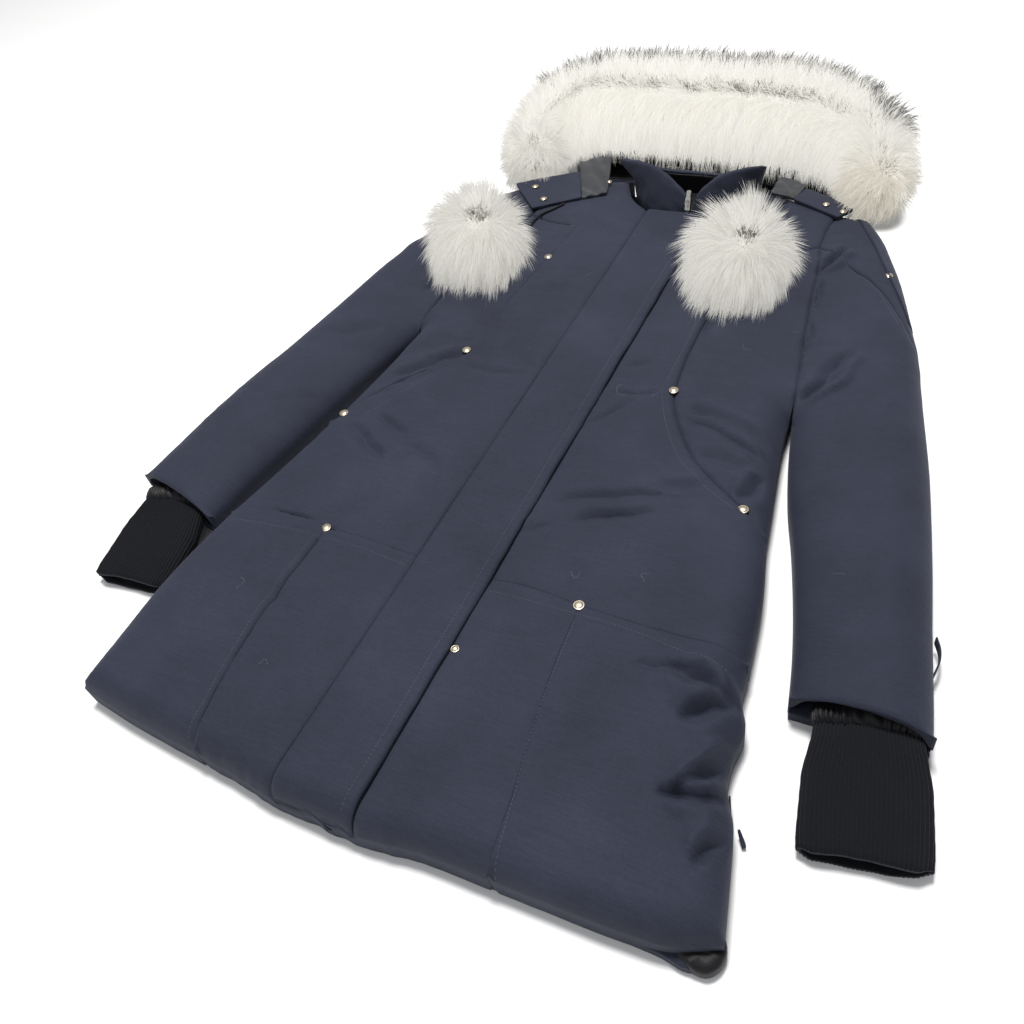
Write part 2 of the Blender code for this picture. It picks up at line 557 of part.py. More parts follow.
def front_grid(side_name, plan, rows):
    """A front panel's top points with its strip under the placket joined on."""
    top = with_height(plan, lambda x, y: body_height(x, y, side_name))
    step = FREE_EDGE_STEP if side_name == "left" else 0.0
    for i, y in enumerate(rows):
        top[i, 0] = (plan[i, 0, 0], y, middle_height(y) - step)
        if side_name == "left":
            top[i, 1, 2] -= 0.4 * step
    strip = with_height(under_placket(side_name, rows),
                        lambda x, y: middle_height(y) - PLACKET_RECESS)
    return np.concatenate([strip, top], axis=1)


def make_fronts(seams, shell):
    base = BACK_THICK + GAP
    for side_name in SIDES:
        seam = seams[side_name]
        lower_rows = ROWS[:HIP_ROW + 1]
        upper_rows = ROWS[HIP_ROW:]
        # Hip panels: inner one beside the placket, outer one to the side seam
        inner = coons(placket_edge(side_name, lower_rows), seam["split"],
                      seam["hem"][:SPLIT_COLUMN + 1], seam["hip"][:SPLIT_COLUMN + 1])
        inner = stand_back(inner)
        inner[:, 0, 0] = placket_edge(side_name, lower_rows)[:, 0]
        rows = lower_rows.copy()
        rows[-1] -= SEAM_HALF
        inner[:, 0, 1] = rows
        top = front_grid(side_name, inner, rows)
        top[-1, 3:, 2] -= SEAM_TROUGH
        top[1:-1, -1, 2] -= SEAM_TROUGH
        add_flat_based(f"hip_inner_{side_name}", top, base, shell)

        outer = coons(seam["split"], seam["side_low"],
                      seam["hem"][SPLIT_COLUMN:], seam["hip"][SPLIT_COLUMN:],
                      rescale(HIP_FRACTION[side_name][SPLIT_COLUMN:]))
        top = with_height(stand_back(outer), lambda x, y: body_height(x, y, side_name))
        add_flat_based(f"hip_outer_{side_name}", sink_rim(top, ("high", "in")), base, shell)

        # Front panel: from the hip seam to the neck, beside the placket
        boundary = np.vstack([seam["side_mid"], seam["pocket"][1:], seam["chest"][1:],
                              seam["yoke"][1:], seam["armhole_high"][1:], seam["shoulder"][1:]])
        front = coons(placket_edge(side_name, upper_rows), boundary, seam["hip"], seam["neck"],
                      HIP_FRACTION[side_name])
        front = stand_back(front)
        # The yoke runs across the rows, so its edge stands back along Y
        first = STEPS["side"] + STEPS["pocket"] + STEPS["chest"]
        last = first + STEPS["yoke"]
        front[first:last + 1, -1] = boundary[first:last + 1] + (0, SEAM_HALF)
        front[[first, last], -1, 0] += -SEAM_HALF if side_name == "left" else SEAM_HALF
        rows = upper_rows.copy()
        rows[0] += SEAM_HALF
        front[:, 0, 0] = placket_edge(side_name, upper_rows)[:, 0]
        front[:, 0, 1] = rows
        top = front_grid(side_name, front, rows)
        top[0, 3:, 2] -= SEAM_TROUGH
        top[STEPS["side"] + 1:-STEPS["shoulder"], -1, 2] -= SEAM_TROUGH
        add_flat_based(f"front_{side_name}", top, base, shell)

        # Side front: between the chest seam and the armhole, over the slanted pocket
        side_edge = np.vstack([seam["side_top"], seam["armhole_low"][1:]])
        side_front = coons(seam["chest"], side_edge, seam["pocket"][::-1], seam["yoke"])
        top = with_height(stand_back(side_front), lambda x, y: body_height(x, y, side_name))
        sink_rim(top, ("low", "high", "in"))
        top[STEPS["side"]:-1, -1, 2] -= SEAM_TROUGH
        add_flat_based(f"side_front_{side_name}", top, base, shell)


def rescale(fraction):
    fraction = np.array(fraction, dtype=float)
    return (fraction - fraction[0]) / (fraction[-1] - fraction[0])


def make_back(seams, shell):
    """The whole back in one panel, its outline the same as the fronts' and the back neck."""
    right, left = seams["right"], seams["left"]
    corner = columns(BACK_HEM_LEFT, "x", "y")
    outline = list(right["hem"][::-1]) + [p for p in left["hem"] if p[0] < corner[0, 0] - 0.01]
    outline += list(spline(corner, 8))
    outline += list(left["side_low"][1:]) + list(left["side_mid"][1:])
    outline += list(left["side_top"][1:]) + list(left["armhole_low"][1:])
    outline += list(left["armhole_high"][1:]) + list(left["shoulder"][1:])
    outline += list(spline(columns(NECK_BACK, "x", "y"), 13)[::-1][1:-1])
    right_up = list(right["side_low"][1:]) + list(right["side_mid"][1:])
    right_up += list(right["side_top"][1:]) + list(right["armhole_low"][1:])
    right_up += list(right["armhole_high"][1:]) + list(right["shoulder"][1:])
    outline += right_up[::-1]
    add_slab("back_panel", outline, BACK_THICK, shell)


def make_placket(shell):
    """Storm placket: sewn down on the right, free on the left, over the zip."""
    rows = ROWS.copy()
    left_edge, right_edge = -0.0397, 0.0346
    xs = (left_edge, -0.030, 0.010, 0.029, right_edge)
    rise = (0.0, 0.0012, 0.0014, 0.0010, -0.0012)
    top = np.array([[(x, y, middle_height(y) - PLACKET_RECESS + GAP + PLACKET_THICK + lift)
                     for x, lift in zip(xs, rise)] for y in rows])
    bottom = np.array([[(x, y, middle_height(y) - PLACKET_RECESS + GAP) for x in xs] for y in rows])
    add_layer("storm_placket", top, bottom, shell)


def make_zip(tape):
    """Front zip chain between the two fronts, from hem to neck, and up the collar's edge."""
    rows = ROWS[::2]
    xs = (ZIP_X - ZIP_HALF, ZIP_X + ZIP_HALF)
    top = np.array([[(x, y, middle_height(y) - PLACKET_RECESS - GAP) for x in xs] for y in rows])
    bottom = top.copy()
    bottom[:, :, 2] = np.maximum(bottom[:, :, 2] - ZIP_THICK, BACK_THICK + GAP)
    rise = np.array([[(x, y, z) for x in xs] for y, z in zip(ZIP_TOP["y"], ZIP_TOP["z"])])
    behind = rise + np.array([0, math.sin(ZIP_SLOPE), -math.cos(ZIP_SLOPE)]) * 0.002
    top = np.concatenate([top, rise])
    bottom = np.concatenate([bottom, behind])
    add_layer("front_zip", top, bottom, tape)


# ---------------------------------------------------------------- sleeves

def make_sleeves(seams, shell):
    for side_name, part in SIDES.items():
        seam = seams[side_name]
        rows_low = 14
        armhole = seam["armhole_low"]
        inner = spline(part["sleeve_in"], rows_low + CAP_STEPS + 1)
        outer_low = spline(part["sleeve_out"], rows_low + 1)
        outer = np.vstack([outer_low, seam["cap_seam"][::-1][1:]])
        cuff = np.array([inner[0] + (outer[0] - inner[0]) * f for f in SLEEVE_FRACTION])
        plan = coons(inner, outer, cuff, armhole, SLEEVE_FRACTION)
        plan = stand_back(plan)
        top = with_height(plan, lambda x, y: sleeve_height(x, y, side_name))
        top[-1, :, 2] -= SEAM_TROUGH
        top[rows_low:-1, -1, 2] -= SEAM_TROUGH
        wall = np.interp(np.arange(len(top)), (0, SLEEVE_HEM_ROWS), (SLEEVE_HEM_WALL, SHELL_WALL))
        ceiling = top.copy()
        ceiling[:, :, 2] = np.maximum(BACK_THICK + GAP, top[:, :, 2] - wall[:, None])
        ceiling[:, 0, 2] = BACK_THICK + GAP
        ceiling[:rows_low + 1, -1, 2] = BACK_THICK + GAP
        add_layer(f"sleeve_top_{side_name}", top, ceiling, shell)

        # Upper panel of the sleeve, from the shoulder to the curved seam
        cap_end = np.array([seam["cap_seam"][-1] + (seam["cap_out"][-1] - seam["cap_seam"][-1]) * f
                            for f in CAP_FRACTION])
        cap = coons(seam["cap_seam"], seam["cap_out"], seam["armhole_high"], cap_end,
                    CAP_FRACTION)
        top = with_height(stand_back(cap), lambda x, y: sleeve_height(x, y, side_name))
        top[0, :, 2] -= SEAM_TROUGH
        top[1:, 0, 2] -= SEAM_TROUGH
        ceiling = top.copy()
        ceiling[:, :, 2] = np.maximum(BACK_THICK + GAP, top[:, :, 2] - SHELL_WALL)
        ceiling[:, -1, 2] = BACK_THICK + GAP
        ceiling[-1, :, 2] = BACK_THICK + GAP
        add_layer(f"sleeve_cap_{side_name}", top, ceiling, shell)
        if side_name == "left":
            band = top[:, -2:]
            lift = np.array([0, 0, 1])
            add_layer("arm_band_left", band + lift * BAND_THICK, band + lift * 3 * GAP, shell)

        # Under sleeve: flat on the table, the same outline as the two panels over it
        outline = list(inner) + list(armhole[1:]) + list(seam["armhole_high"][1:])
        outline += list(seam["cap_out"][1:]) + list(outer_low[::-1])
        add_slab(f"sleeve_under_{side_name}", outline, BACK_THICK, shell)


# ---------------------------------------------------------------- lofted pieces

def add_loft(name, sections, mat):
    """A closed solid through matching rings of points, capped at both ends."""
    sections = np.array(sections, dtype=float)
    rings, count = sections.shape[:2]
    verts = [tuple(p) for p in sections.reshape(-1, 3)]
    faces = []
    for r in range(rings - 1):
        for k in range(count):
            n = (k + 1) % count
            faces.append((r * count + k, r * count + n, (r + 1) * count + n, (r + 1) * count + k))
    faces.append(tuple(range(count)))
    faces.append(tuple(range((rings - 1) * count, rings * count)))
    return add_object(name, verts, faces, mat)


def path_normals(path):
    """Unit normals in plan, to the right of the way along a path."""
    ahead = np.gradient(np.array(path)[:, :2], axis=0)
    normal = np.stack([ahead[:, 1], -ahead[:, 0]], axis=1)
    return normal / np.linalg.norm(normal, axis=1)[:, None]


# ---------------------------------------------------------------- rib cuffs

def rib_ring(centre, axis, half_width, half_height, low, ribbed):
    """One ring of a knit cuff: a flattened oval standing on height low."""
    turn = np.linspace(0, 2 * math.pi, 721)[:-1]
    x = half_width * np.sign(np.cos(turn)) * np.abs(np.cos(turn)) ** RIB_OVAL
    z = half_height * np.sign(np.sin(turn)) * np.abs(np.sin(turn)) ** RIB_OVAL
    loop = np.stack([np.append(x, x[0]), np.append(z, z[0])], axis=1)
    along = np.concatenate([[0], np.cumsum(np.linalg.norm(np.diff(loop, axis=0), axis=1))])
    count = 2 * RIB_COUNT if ribbed else RIB_COUNT
    steps = np.arange(count) / count * along[-1]
    ring = np.stack([np.interp(steps, along, loop[:, k]) for k in range(2)], axis=1)
    ahead = np.roll(ring, -1, axis=0) - np.roll(ring, 1, axis=0)
    normal = np.stack([ahead[:, 1], -ahead[:, 0]], axis=1)
    normal /= np.linalg.norm(normal, axis=1)[:, None]
    if ribbed:
        ring = ring + normal * (np.arange(count) % 2 * RIB_DEPTH)[:, None]
    else:
        ring = ring - normal * RIB_WALL
    middle = low + half_height + RIB_DEPTH
    across = np.array([-axis[1], axis[0]])
    return np.array([(centre[0] + across[0] * u, centre[1] + across[1] * u, middle + v)
                     for u, v in ring])


def make_rib_cuffs(knit):
    """Ribbed knit cuffs: open tubes that come out of the sleeve hems."""
    for side_name, cuff in RIB_CUFFS.items():
        start, end = np.array(cuff["start"]), np.array(cuff["end"])
        axis = (end - start) / np.linalg.norm(end - start)
        outer = []
        inner = []
        for along, low, half_width, half_height in zip(*(RIB_RINGS[k] for k in (
                "along", "low", "half_width", "half_height"))):
            centre = start + axis * along
            outer.append(rib_ring(centre, axis, half_width, half_height, low, True))
            inner.append(rib_ring(centre, axis, half_width, half_height, low, False))
        rings = len(outer)
        wide, narrow = 2 * RIB_COUNT, RIB_COUNT
        verts = [tuple(p) for ring in outer for p in ring]
        base = len(verts)
        verts += [tuple(p) for ring in inner for p in ring]
        faces = []
        for r in range(rings - 1):
            for k in range(wide):
                n = (k + 1) % wide
                faces.append((r * wide + k, r * wide + n, (r + 1) * wide + n, (r + 1) * wide + k))
            for k in range(narrow):
                n = (k + 1) % narrow
                a, b = base + r * narrow + k, base + r * narrow + n
                faces.append((a, a + narrow, b + narrow, b))
        for r in (0, rings - 1):
            for k in range(narrow):
                n = (k + 1) % narrow
                first, mid, last = r * wide + 2 * k, r * wide + 2 * k + 1, r * wide + 2 * n
                a, b = base + r * narrow + k, base + r * narrow + n
                faces.append((first, mid, a))
                faces.append((mid, last, b, a))
        add_object(f"rib_cuff_{side_name}", verts, faces, knit)


# ---------------------------------------------------------------- collar and hood

def collar_sections(tab, face, back, reach=1.0):
    """Upright wall sections between two depths, given at the foot, middle and head."""
    base = spline(columns(tab, "base_x", "base_y"), COLLAR_STEPS)
    top = spline(columns(tab, "top_x", "top_y", "top_z"), COLLAR_STEPS)
    out = path_normals(base) * tab["turn"][0]
    out[0], out[-1] = (0, -1), (0, 1)
    levels = (0.0, 0.55, reach)
    sections = []
    for b, t, n in zip(base, top, out):
        foot = np.array([b[0], b[1], BACK_THICK + GAP])
        spine = []
        for level in levels:
            lean = np.interp(level, (0.0, 0.55, 1.0), (0.0, COLLAR_BEND, 1.0))
            spine.append(foot + (t - foot) * np.array([lean, lean, level]))
        push = np.array([n[0], n[1], 0])
        depths = [[np.interp(level, (0.0, 0.55, 1.0), depth) for level in levels]
                  for depth in (face, back)]
        ring = [place - push * depth for place, depth in zip(spine, depths[0])]
        ring += [place - push * depth for place, depth in zip(spine[::-1], depths[1][::-1])]
        sections.append(ring)
    return sections


def make_collar(shell, lining):
    for side_name, tab in COLLAR.items():
        wall = collar_sections(tab, COLLAR_FACE, COLLAR_BACK)
        add_loft(f"collar_{side_name}", wall, shell)
        face = [depth + LINING_CLEAR for depth in COLLAR_BACK]
        skin = collar_sections(tab, face, [depth + LINING_THICK for depth in face], 0.93)
        # Turned round so that its facets fold along the same diagonals as the wall's
        add_loft(f"collar_lining_{side_name}", [ring[::-1] for ring in skin], lining)
    # The back panel's lining shows inside the neck
    ring = spline(columns(NECK_LINING, "x", "y"), 21)[:-1]
    verts = [(x, y, BACK_THICK + GAP) for x, y in ring]
    verts += [(x, y, BACK_THICK + GAP + LINING_THICK) for x, y in ring]
    count = len(ring)
    faces = [(k, (k + 1) % count, count + (k + 1) % count, count + k) for k in range(count)]
    faces += [tuple(range(count)), tuple(range(count, 2 * count))]
    add_object("neck_lining", verts, faces, lining)


def make_hood(shell, lining):
    """The hood lies back behind the neck: one layer on the table and one arched over it."""
    front = spline(columns(HOOD_FRONT, "x", "y"), HOOD_COLUMNS + 1)
    back = spline(columns(HOOD_BACK, "x", "y"), HOOD_COLUMNS + 1)
    outline = list(front) + list(back[::-1])
    add_slab("hood_under", outline, HOOD_WALL, shell, foot=0.003)
    rows = 5
    plan = np.array([front + (back - front) * t for t in np.linspace(0, 1, rows)])
    plan = stand_back(plan, 0.001)
    top = np.zeros((rows, HOOD_COLUMNS + 1, 3))
    ceiling = np.zeros_like(top)
    floor = HOOD_WALL + GAP
    for i in range(rows):
        for j in range(HOOD_COLUMNS + 1):
            x, y = plan[i, j]
            across = 1 - abs(2 * j / HOOD_COLUMNS - 1)
            back_in = 1 - i / (rows - 1)
            rise = min(1.0, across / 0.16) * min(1.0, back_in / 0.24)
            top[i, j] = (x, y, floor + 0.012 + (HOOD_TOP - floor - 0.012) * math.sqrt(rise))
            ceiling[i, j] = (x, y, floor + (HOOD_TOP - HOOD_WALL - floor) * rise)
    add_layer("hood_top", top, ceiling, shell)
    inside = np.array([front[1:-1] + (back[1:-1] - front[1:-1]) * t for t in (0.02, 0.30, 0.60)])
    low = np.concatenate([inside, np.full(inside.shape[:2] + (1,), floor)], axis=2)
    high = low + np.array([0, 0, HOOD_LINING])
    add_layer("hood_lining", high, low, lining)


def make_tab(name, grid, thick, mat):
    """A flat double tab: rows of 3-D points and the same rows thick lower."""
    top = np.array(grid, dtype=float)
    bottom = top - np.array([0, 0, thick])
    return add_layer(name, top, bottom, mat)


def tab_rows(tab, steps):
    """A tab's top grid between its two long edges."""
    near = spline(columns(tab, "near_x", "near_y", "near_z"), steps)
    far = spline(columns(tab, "far_x", "far_y", "far_z"), steps)
    return np.array([[a, (a + b) / 2, b] for a, b in zip(near, far)])


def make_hood_tabs(shell, nylon):
    for side_name, tab in HOOD_TABS.items():
        grid = tab_rows(tab, 7)
        split = TAB_SPLIT[side_name]
        make_tab(f"hood_tab_{side_name}", grid[split:], TAB_THICK, shell)
        inner = grid[:split + 1].copy()
        step = inner[-2] - inner[-1]
        inner[-1] += step / np.linalg.norm(step, axis=1)[:, None] * 0.0005
        make_tab(f"hood_tab_facing_{side_name}", inner, TAB_THICK, nylon)


# ---------------------------------------------------------------- fur

def make_ruff(fur):
    """Fur ruff: a thick roll round the hood's front edge, as deep as its hair reaches."""
    path = spline(columns(RUFF, "x", "y", "z"), RUFF_STEPS)
    size = np.interp(np.linspace(0, 1, RUFF_STEPS), np.linspace(0, 1, len(RUFF["size"])),
                     RUFF["size"])
    normal = path_normals(path)
    random = np.random.RandomState(7)
    shape = columns(RUFF_SECTION, "out", "up")
    sections = []
    for i, (p, s, n) in enumerate(zip(path, size, normal)):
        ring = []
        for k, (out, up) in enumerate(shape):
            tuft = 1 + (0.05 if (i + k) % 2 else -0.05) + random.uniform(-0.04, 0.04)
            z = p[2] + up * s * (tuft if up > 0 else 1)
            ring.append((p[0] + n[0] * out * s * tuft, p[1] + n[1] * out * s * tuft,
                         max(z, RUFF_FLOOR)))
        sections.append(ring)
    # Both ends round in to a small tuft
    ends = []
    for index in (0, -1):
        centre = np.mean(np.array(sections[index]), axis=0)
        ahead = path[index] - path[index + (1 if index == 0 else -1)]
        ahead = ahead / np.linalg.norm(ahead)
        tip = centre + ahead * size[index] * RUFF_END
        ring = centre + (np.array(sections[index]) - centre) * 0.45 + (tip - centre)
        ring[:, 2] = np.maximum(ring[:, 2], RUFF_FLOOR)
        ends.append(ring.tolist())
    add_loft("fur_ruff", [ends[0]] + sections + [ends[1]], fur)


def make_pompoms(fur):
    """Two fur pompoms: a round core with separate locks of hair fused into it."""
    for side_name, pom in POMPOMS.items():
        random = np.random.RandomState(pom["seed"])
        ball = bmesh.new()
        bmesh.ops.create_icosphere(ball, subdivisions=2, radius=1.0)
        floor = resting_height(pom["x"], pom["y"], POM_RADIUS * 0.85) + pom["lift"]
        centre = np.array([pom["x"], pom["y"], floor + POM_FOOT + POM_CORE * 0.92])
        verts = [centre + np.array(v.co) * POM_CORE for v in ball.verts]
        verts = [np.array([v[0], v[1], max(v[2], floor + POM_FOOT)]) for v in verts]
        faces = []
        for face in ball.faces:
            corners = [v.index for v in face.verts]
            middle = sum(verts[c] for c in corners) / 3
            out = np.array(face.normal)
            lean = random.uniform(-0.16, 0.16, 3) + np.array(POM_LEAN)
            aim = out + lean
            aim /= np.linalg.norm(aim)
            reach = POM_RADIUS * random.uniform(0.93, 1.0)
            tip = centre + aim * reach
            if tip[2] < floor:
                spread = (floor - centre[2]) / aim[2]
                tip = centre + aim * spread
            root = []
            for c in corners:
                root.append(len(verts))
                verts.append(middle + (verts[c] - middle) * POM_ROOT)
            for k in range(3):
                n = (k + 1) % 3
                faces.append((corners[k], corners[n], root[n], root[k]))
            top = len(verts)
            verts.append(tip)
            for k in range(3):
                faces.append((root[k], root[(k + 1) % 3], top))
        ball.free()
        add_object(f"pompom_{side_name}", verts, faces, fur)


# ---------------------------------------------------------------- small pieces

def resting_height(x, y, radius):
    """Highest point of the pieces built so far within a radius of a place."""
    bpy.context.view_layer.update()
    best = 0.0
    spots = [(x, y)] + [(x + radius * math.cos(a), y + radius * math.sin(a))
                        for a in np.linspace(0, 2 * math.pi, 9)[:-1]]
    for obj in bpy.data.objects:
        if obj.type != "MESH":
            continue
        for px, py in spots:
            hit, place, _, _ = obj.ray_cast((px, py, 1.0), (0, 0, -1))
            if hit:
                best = max(best, place[2])
    return best


def add_rivet(name, x, y, z, radius, mat):
    """A domed snap cap, flat underneath."""
    rings = ((1.0, 0.0), (1.0, 0.0007), (0.62, 0.0021))
    sides = 10
    verts = [(x + radius * r * math.cos(2 * math.pi * k / sides),
              y + radius * r * math.sin(2 * math.pi * k / sides), z + up)
             for r, up in rings for k in range(sides)]
    faces = []
    for r in range(len(rings) - 1):
        for k in range(sides):
            n = (k + 1) % sides
            faces.append((r * sides + k, r * sides + n, (r + 1) * sides + n, (r + 1) * sides + k))
    faces += [tuple(range(sides)), tuple(range(2 * sides, 3 * sides))]
    add_object(name, verts, faces, mat)


def make_rivets(metal):
    for name, x, y, radius in zip(*(RIVETS[k] for k in ("name", "x", "y", "radius"))):
        add_rivet(f"rivet_{name}", x, y, resting_height(x, y, radius) + GAP, radius, metal)


def make_cord(name, points, mat):
    """A round drawcord as a bevelled curve with filled ends."""
    route = spline(points, CORD_POINTS)
    curve = bpy.data.curves.new(name, "CURVE")
    curve.dimensions = "3D"
    curve.bevel_depth = CORD_RADIUS
    curve.bevel_resolution = 2
    curve.use_fill_caps = True
    line = curve.splines.new("POLY")
    line.points.add(len(route) - 1)
    for point, place in zip(line.points, route):
        point.co = (*place, 1)
    curve.materials.append(mat)
    obj = bpy.data.objects.new(name, curve)
    bpy.context.collection.objects.link(obj)


def add_box(name, low, high, mat):
    """A box between two corners, in its own frame."""
    verts = [(x, y, z) for x in (low[0], high[0]) for y in (low[1], high[1])
             for z in (low[2], high[2])]
    faces = [(0, 1, 3, 2), (4, 6, 7, 5), (0, 4, 5, 1), (2, 3, 7, 6), (0, 2, 6, 4), (1, 5, 7, 3)]
    return add_object(name, verts, faces, mat)


def combine(obj, tool, operation):
    """Applies a Boolean and removes its tool."""
    change = obj.modifiers.new(operation.title(), "BOOLEAN")
    change.operation = operation
    change.object = tool
    bpy.context.view_layer.update()
    result = bpy.data.meshes.new_from_object(obj.evaluated_get(
        bpy.context.evaluated_depsgraph_get()))
    obj.modifiers.clear()
    obj.data = result
    bpy.data.objects.remove(tool, do_unlink=True)


def make_slider(metal):
    """Zip slider with its bridge, on the zip at the collar's opening."""
    half, width = SLIDER["length"] / 2, SLIDER["width"] / 2
    thick = SLIDER["thick"]
    body = add_box("zip_slider", (-width, -half, 0), (width, half, thick), metal)
    arch, side = BRIDGE, BRIDGE["width"] / 2
    top = thick + arch["height"]
    bridge = add_box("bridge", (-side, arch["y0"], thick * 0.5), (side, arch["y1"], top), metal)
    window = add_box("window", (-2 * side, arch["y0"] + arch["bar"], thick),
                     (2 * side, arch["y1"] - arch["bar"], top - arch["bar"]), metal)
    combine(bridge, window, "DIFFERENCE")
    combine(body, bridge, "UNION")
    body.location = (SLIDER["x"], SLIDER["y"], SLIDER["z"])
    body.rotation_euler = (ZIP_SLOPE, 0, 0)


def make_pull(metal):
    """Plain pull tab: its origin is on the hinge, where its eye hangs on the bridge."""
    half, thick = PULL["width"] / 2, PULL["thick"] / 2
    end = PULL["length"]
    outline = [(-half, -thick), (half, -thick), (half, 0.0070), (half * 0.72, 0.0095),
               (half * 0.80, 0.0125), (half * 0.85, end - 0.0015), (half * 0.5, end),
               (-half * 0.5, end), (-half * 0.85, end - 0.0015), (-half * 0.80, 0.0125),
               (-half * 0.72, 0.0095), (-half, 0.0070)]
    count = len(outline)
    verts = [(x, y, z) for z in (-thick, thick) for x, y in outline]
    faces = [(k, (k + 1) % count, count + (k + 1) % count, count + k) for k in range(count)]
    faces += [tuple(range(count)), tuple(range(count, 2 * count))]
    pull = add_object("zip_pull", verts, faces, metal)
    eye = PULL["eye_width"] / 2
    hole = add_box("eye", (-eye, thick, -2 * thick), (eye, thick + PULL["eye_length"], 2 * thick),
                   metal)
    combine(pull, hole, "DIFFERENCE")
    along, out = PULL_PIVOT
    pull.location = (SLIDER["x"],
                     SLIDER["y"] + along * math.cos(ZIP_SLOPE) - out * math.sin(ZIP_SLOPE),
                     SLIDER["z"] + along * math.sin(ZIP_SLOPE) + out * math.cos(ZIP_SLOPE))
    pull.rotation_euler = (ZIP_SLOPE, 0, 0)


def strip_sections(path, low, high, near, far):
    """Upright strip sections along a path, between two distances out from it."""
    out = path_normals(path)
    return [[(p[0] + n[0] * near, p[1] + n[1] * near, low),
             (p[0] + n[0] * far, p[1] + n[1] * far, low),
             (p[0] + n[0] * far, p[1] + n[1] * far, high),
             (p[0] + n[0] * near, p[1] + n[1] * near, high)] for p, n in zip(path, out)]


def make_trim(seams, shell, lining):
    """Left side vent zip with its cord pull, and the loop on the left sleeve."""
    side = seams["left"]["side_low"]
    path = side[(side[:, 1] > VENT["y0"]) & (side[:, 1] < VENT["y1"])]
    far = VENT["clear"] + VENT["thick"]
    add_loft("vent_zip_left", strip_sections(path, VENT["low"], VENT["high"], VENT["clear"], far),
             lining)
    sections = []
    for x, y, z, half in zip(*(VENT_PULL[k] for k in ("x", "y", "z", "half"))):
        sections.append([(x - half, y - half * 0.6, z - half), (x + half, y + half * 0.6, z - half),
                         (x + half, y + half * 0.6, z + half), (x - half, y - half * 0.6, z + half)])
    add_loft("vent_pull_left", sections, shell)
    loop = spline(columns(SLEEVE_LOOP, "x", "y"), 9)
    add_loft("sleeve_loop_left", strip_sections(loop, LOOP_SIZE["low"], LOOP_SIZE["high"],
                                                -LOOP_SIZE["half"], LOOP_SIZE["half"]), shell)


def main():
    for obj in list(bpy.data.objects):
        bpy.data.objects.remove(obj, do_unlink=True)
    shell = material("navy_shell", (0.030, 0.035, 0.062), 0.72)
    lining = material("black_lining", (0.006, 0.006, 0.008), 0.80)
    knit = material("black_knit", (0.008, 0.008, 0.009), 0.90)
    nylon = material("grey_nylon", (0.045, 0.048, 0.055), 0.55)
    fur = material("white_fur", (0.80, 0.78, 0.72), 0.85)
    metal = material("pale_gold", (0.62, 0.55, 0.40), 0.28, 1.0)
    seams = seam_points()
    make_back(seams, shell)
    make_fronts(seams, shell)
    make_placket(shell)
    make_zip(lining)
    make_sleeves(seams, shell)
    make_rib_cuffs(knit)
    make_collar(shell, lining)
    make_hood(shell, lining)
    make_hood_tabs(shell, nylon)
    make_rivets(metal)
    make_slider(metal)
    make_pull(metal)
    make_trim(seams, shell, lining)
    for side_name, route in CORDS.items():
        make_cord(f"drawcord_{side_name}", columns(route, "x", "y", "z"), lining)
    make_ruff(fur)
    make_pompoms(fur)


main()
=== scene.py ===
"""Looks of the fur trimmed parka: padded cloth, sewing, fur, knit, zip and metal over its frame."""
import bpy
import bmesh
import math
import numpy as np
from mathutils import Matrix, Vector
from mathutils.bvhtree import BVHTree
from mathutils.geometry import delaunay_2d_cdt


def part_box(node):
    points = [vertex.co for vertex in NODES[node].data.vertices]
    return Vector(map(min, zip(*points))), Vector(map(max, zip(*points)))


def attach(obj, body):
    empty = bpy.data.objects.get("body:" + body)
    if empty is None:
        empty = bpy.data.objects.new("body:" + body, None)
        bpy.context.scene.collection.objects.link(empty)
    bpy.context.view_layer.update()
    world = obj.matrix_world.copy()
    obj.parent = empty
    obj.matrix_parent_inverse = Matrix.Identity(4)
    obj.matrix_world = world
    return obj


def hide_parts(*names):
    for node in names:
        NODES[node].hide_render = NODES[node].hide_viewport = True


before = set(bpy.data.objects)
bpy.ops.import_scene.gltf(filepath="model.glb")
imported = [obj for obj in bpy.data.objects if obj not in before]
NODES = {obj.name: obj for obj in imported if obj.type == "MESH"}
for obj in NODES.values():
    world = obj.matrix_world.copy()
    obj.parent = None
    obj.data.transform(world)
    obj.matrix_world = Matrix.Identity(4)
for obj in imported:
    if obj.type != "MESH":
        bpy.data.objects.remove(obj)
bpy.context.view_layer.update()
BODY = "parka"
SIDES = ("right", "left")
CELL = 0.0036
HAIR_SHARE = 1.0

# Heights of the laid coat
BACK_THICK = 0.012
BASE = 0.0123
EDGE_TOP = 0.021
BODY_TOP = 0.043
SLEEVE_TOP = 0.052
EDGE_ROLL = 0.034
HEM_ROLL = 0.022
HEM = -0.027
SKIRT_FOOT = 0.0014
SKIRT = 0.0007
TUCKED = 0.0012
SLEEVE_ROLL = 0.044
PLACKET = dict(x0=-0.040, x1=0.035, recess=0.0058, top=0.0007,
               rows=(-0.0408, -0.0402, 0.0334, 0.0345, 0.0356, 0.0367, 0.0380, 0.0394))
# Steps along outlines and stitch rows, and how far in from an edge the panels have their own rows
OUTLINE_STEP = 0.0030
STITCH_STEP = 0.0034
EDGE_ROWS = (0.0009, 0.0021, 0.0040)
# How much a crease, a sewn edge and a stitched row sink
CREASE_GAIN = 1.2
SEWN_DEPTH = 0.0025
SEWN_WIDTH = 0.0017
GROOVE_DEPTH = 0.00045
GROOVE_WIDTH = 0.0016


def table(names, *rows):
    """Columns by name, from rows of numbers."""
    return {name: np.array([row[i] for row in rows]) for i, name in enumerate(names.split())}


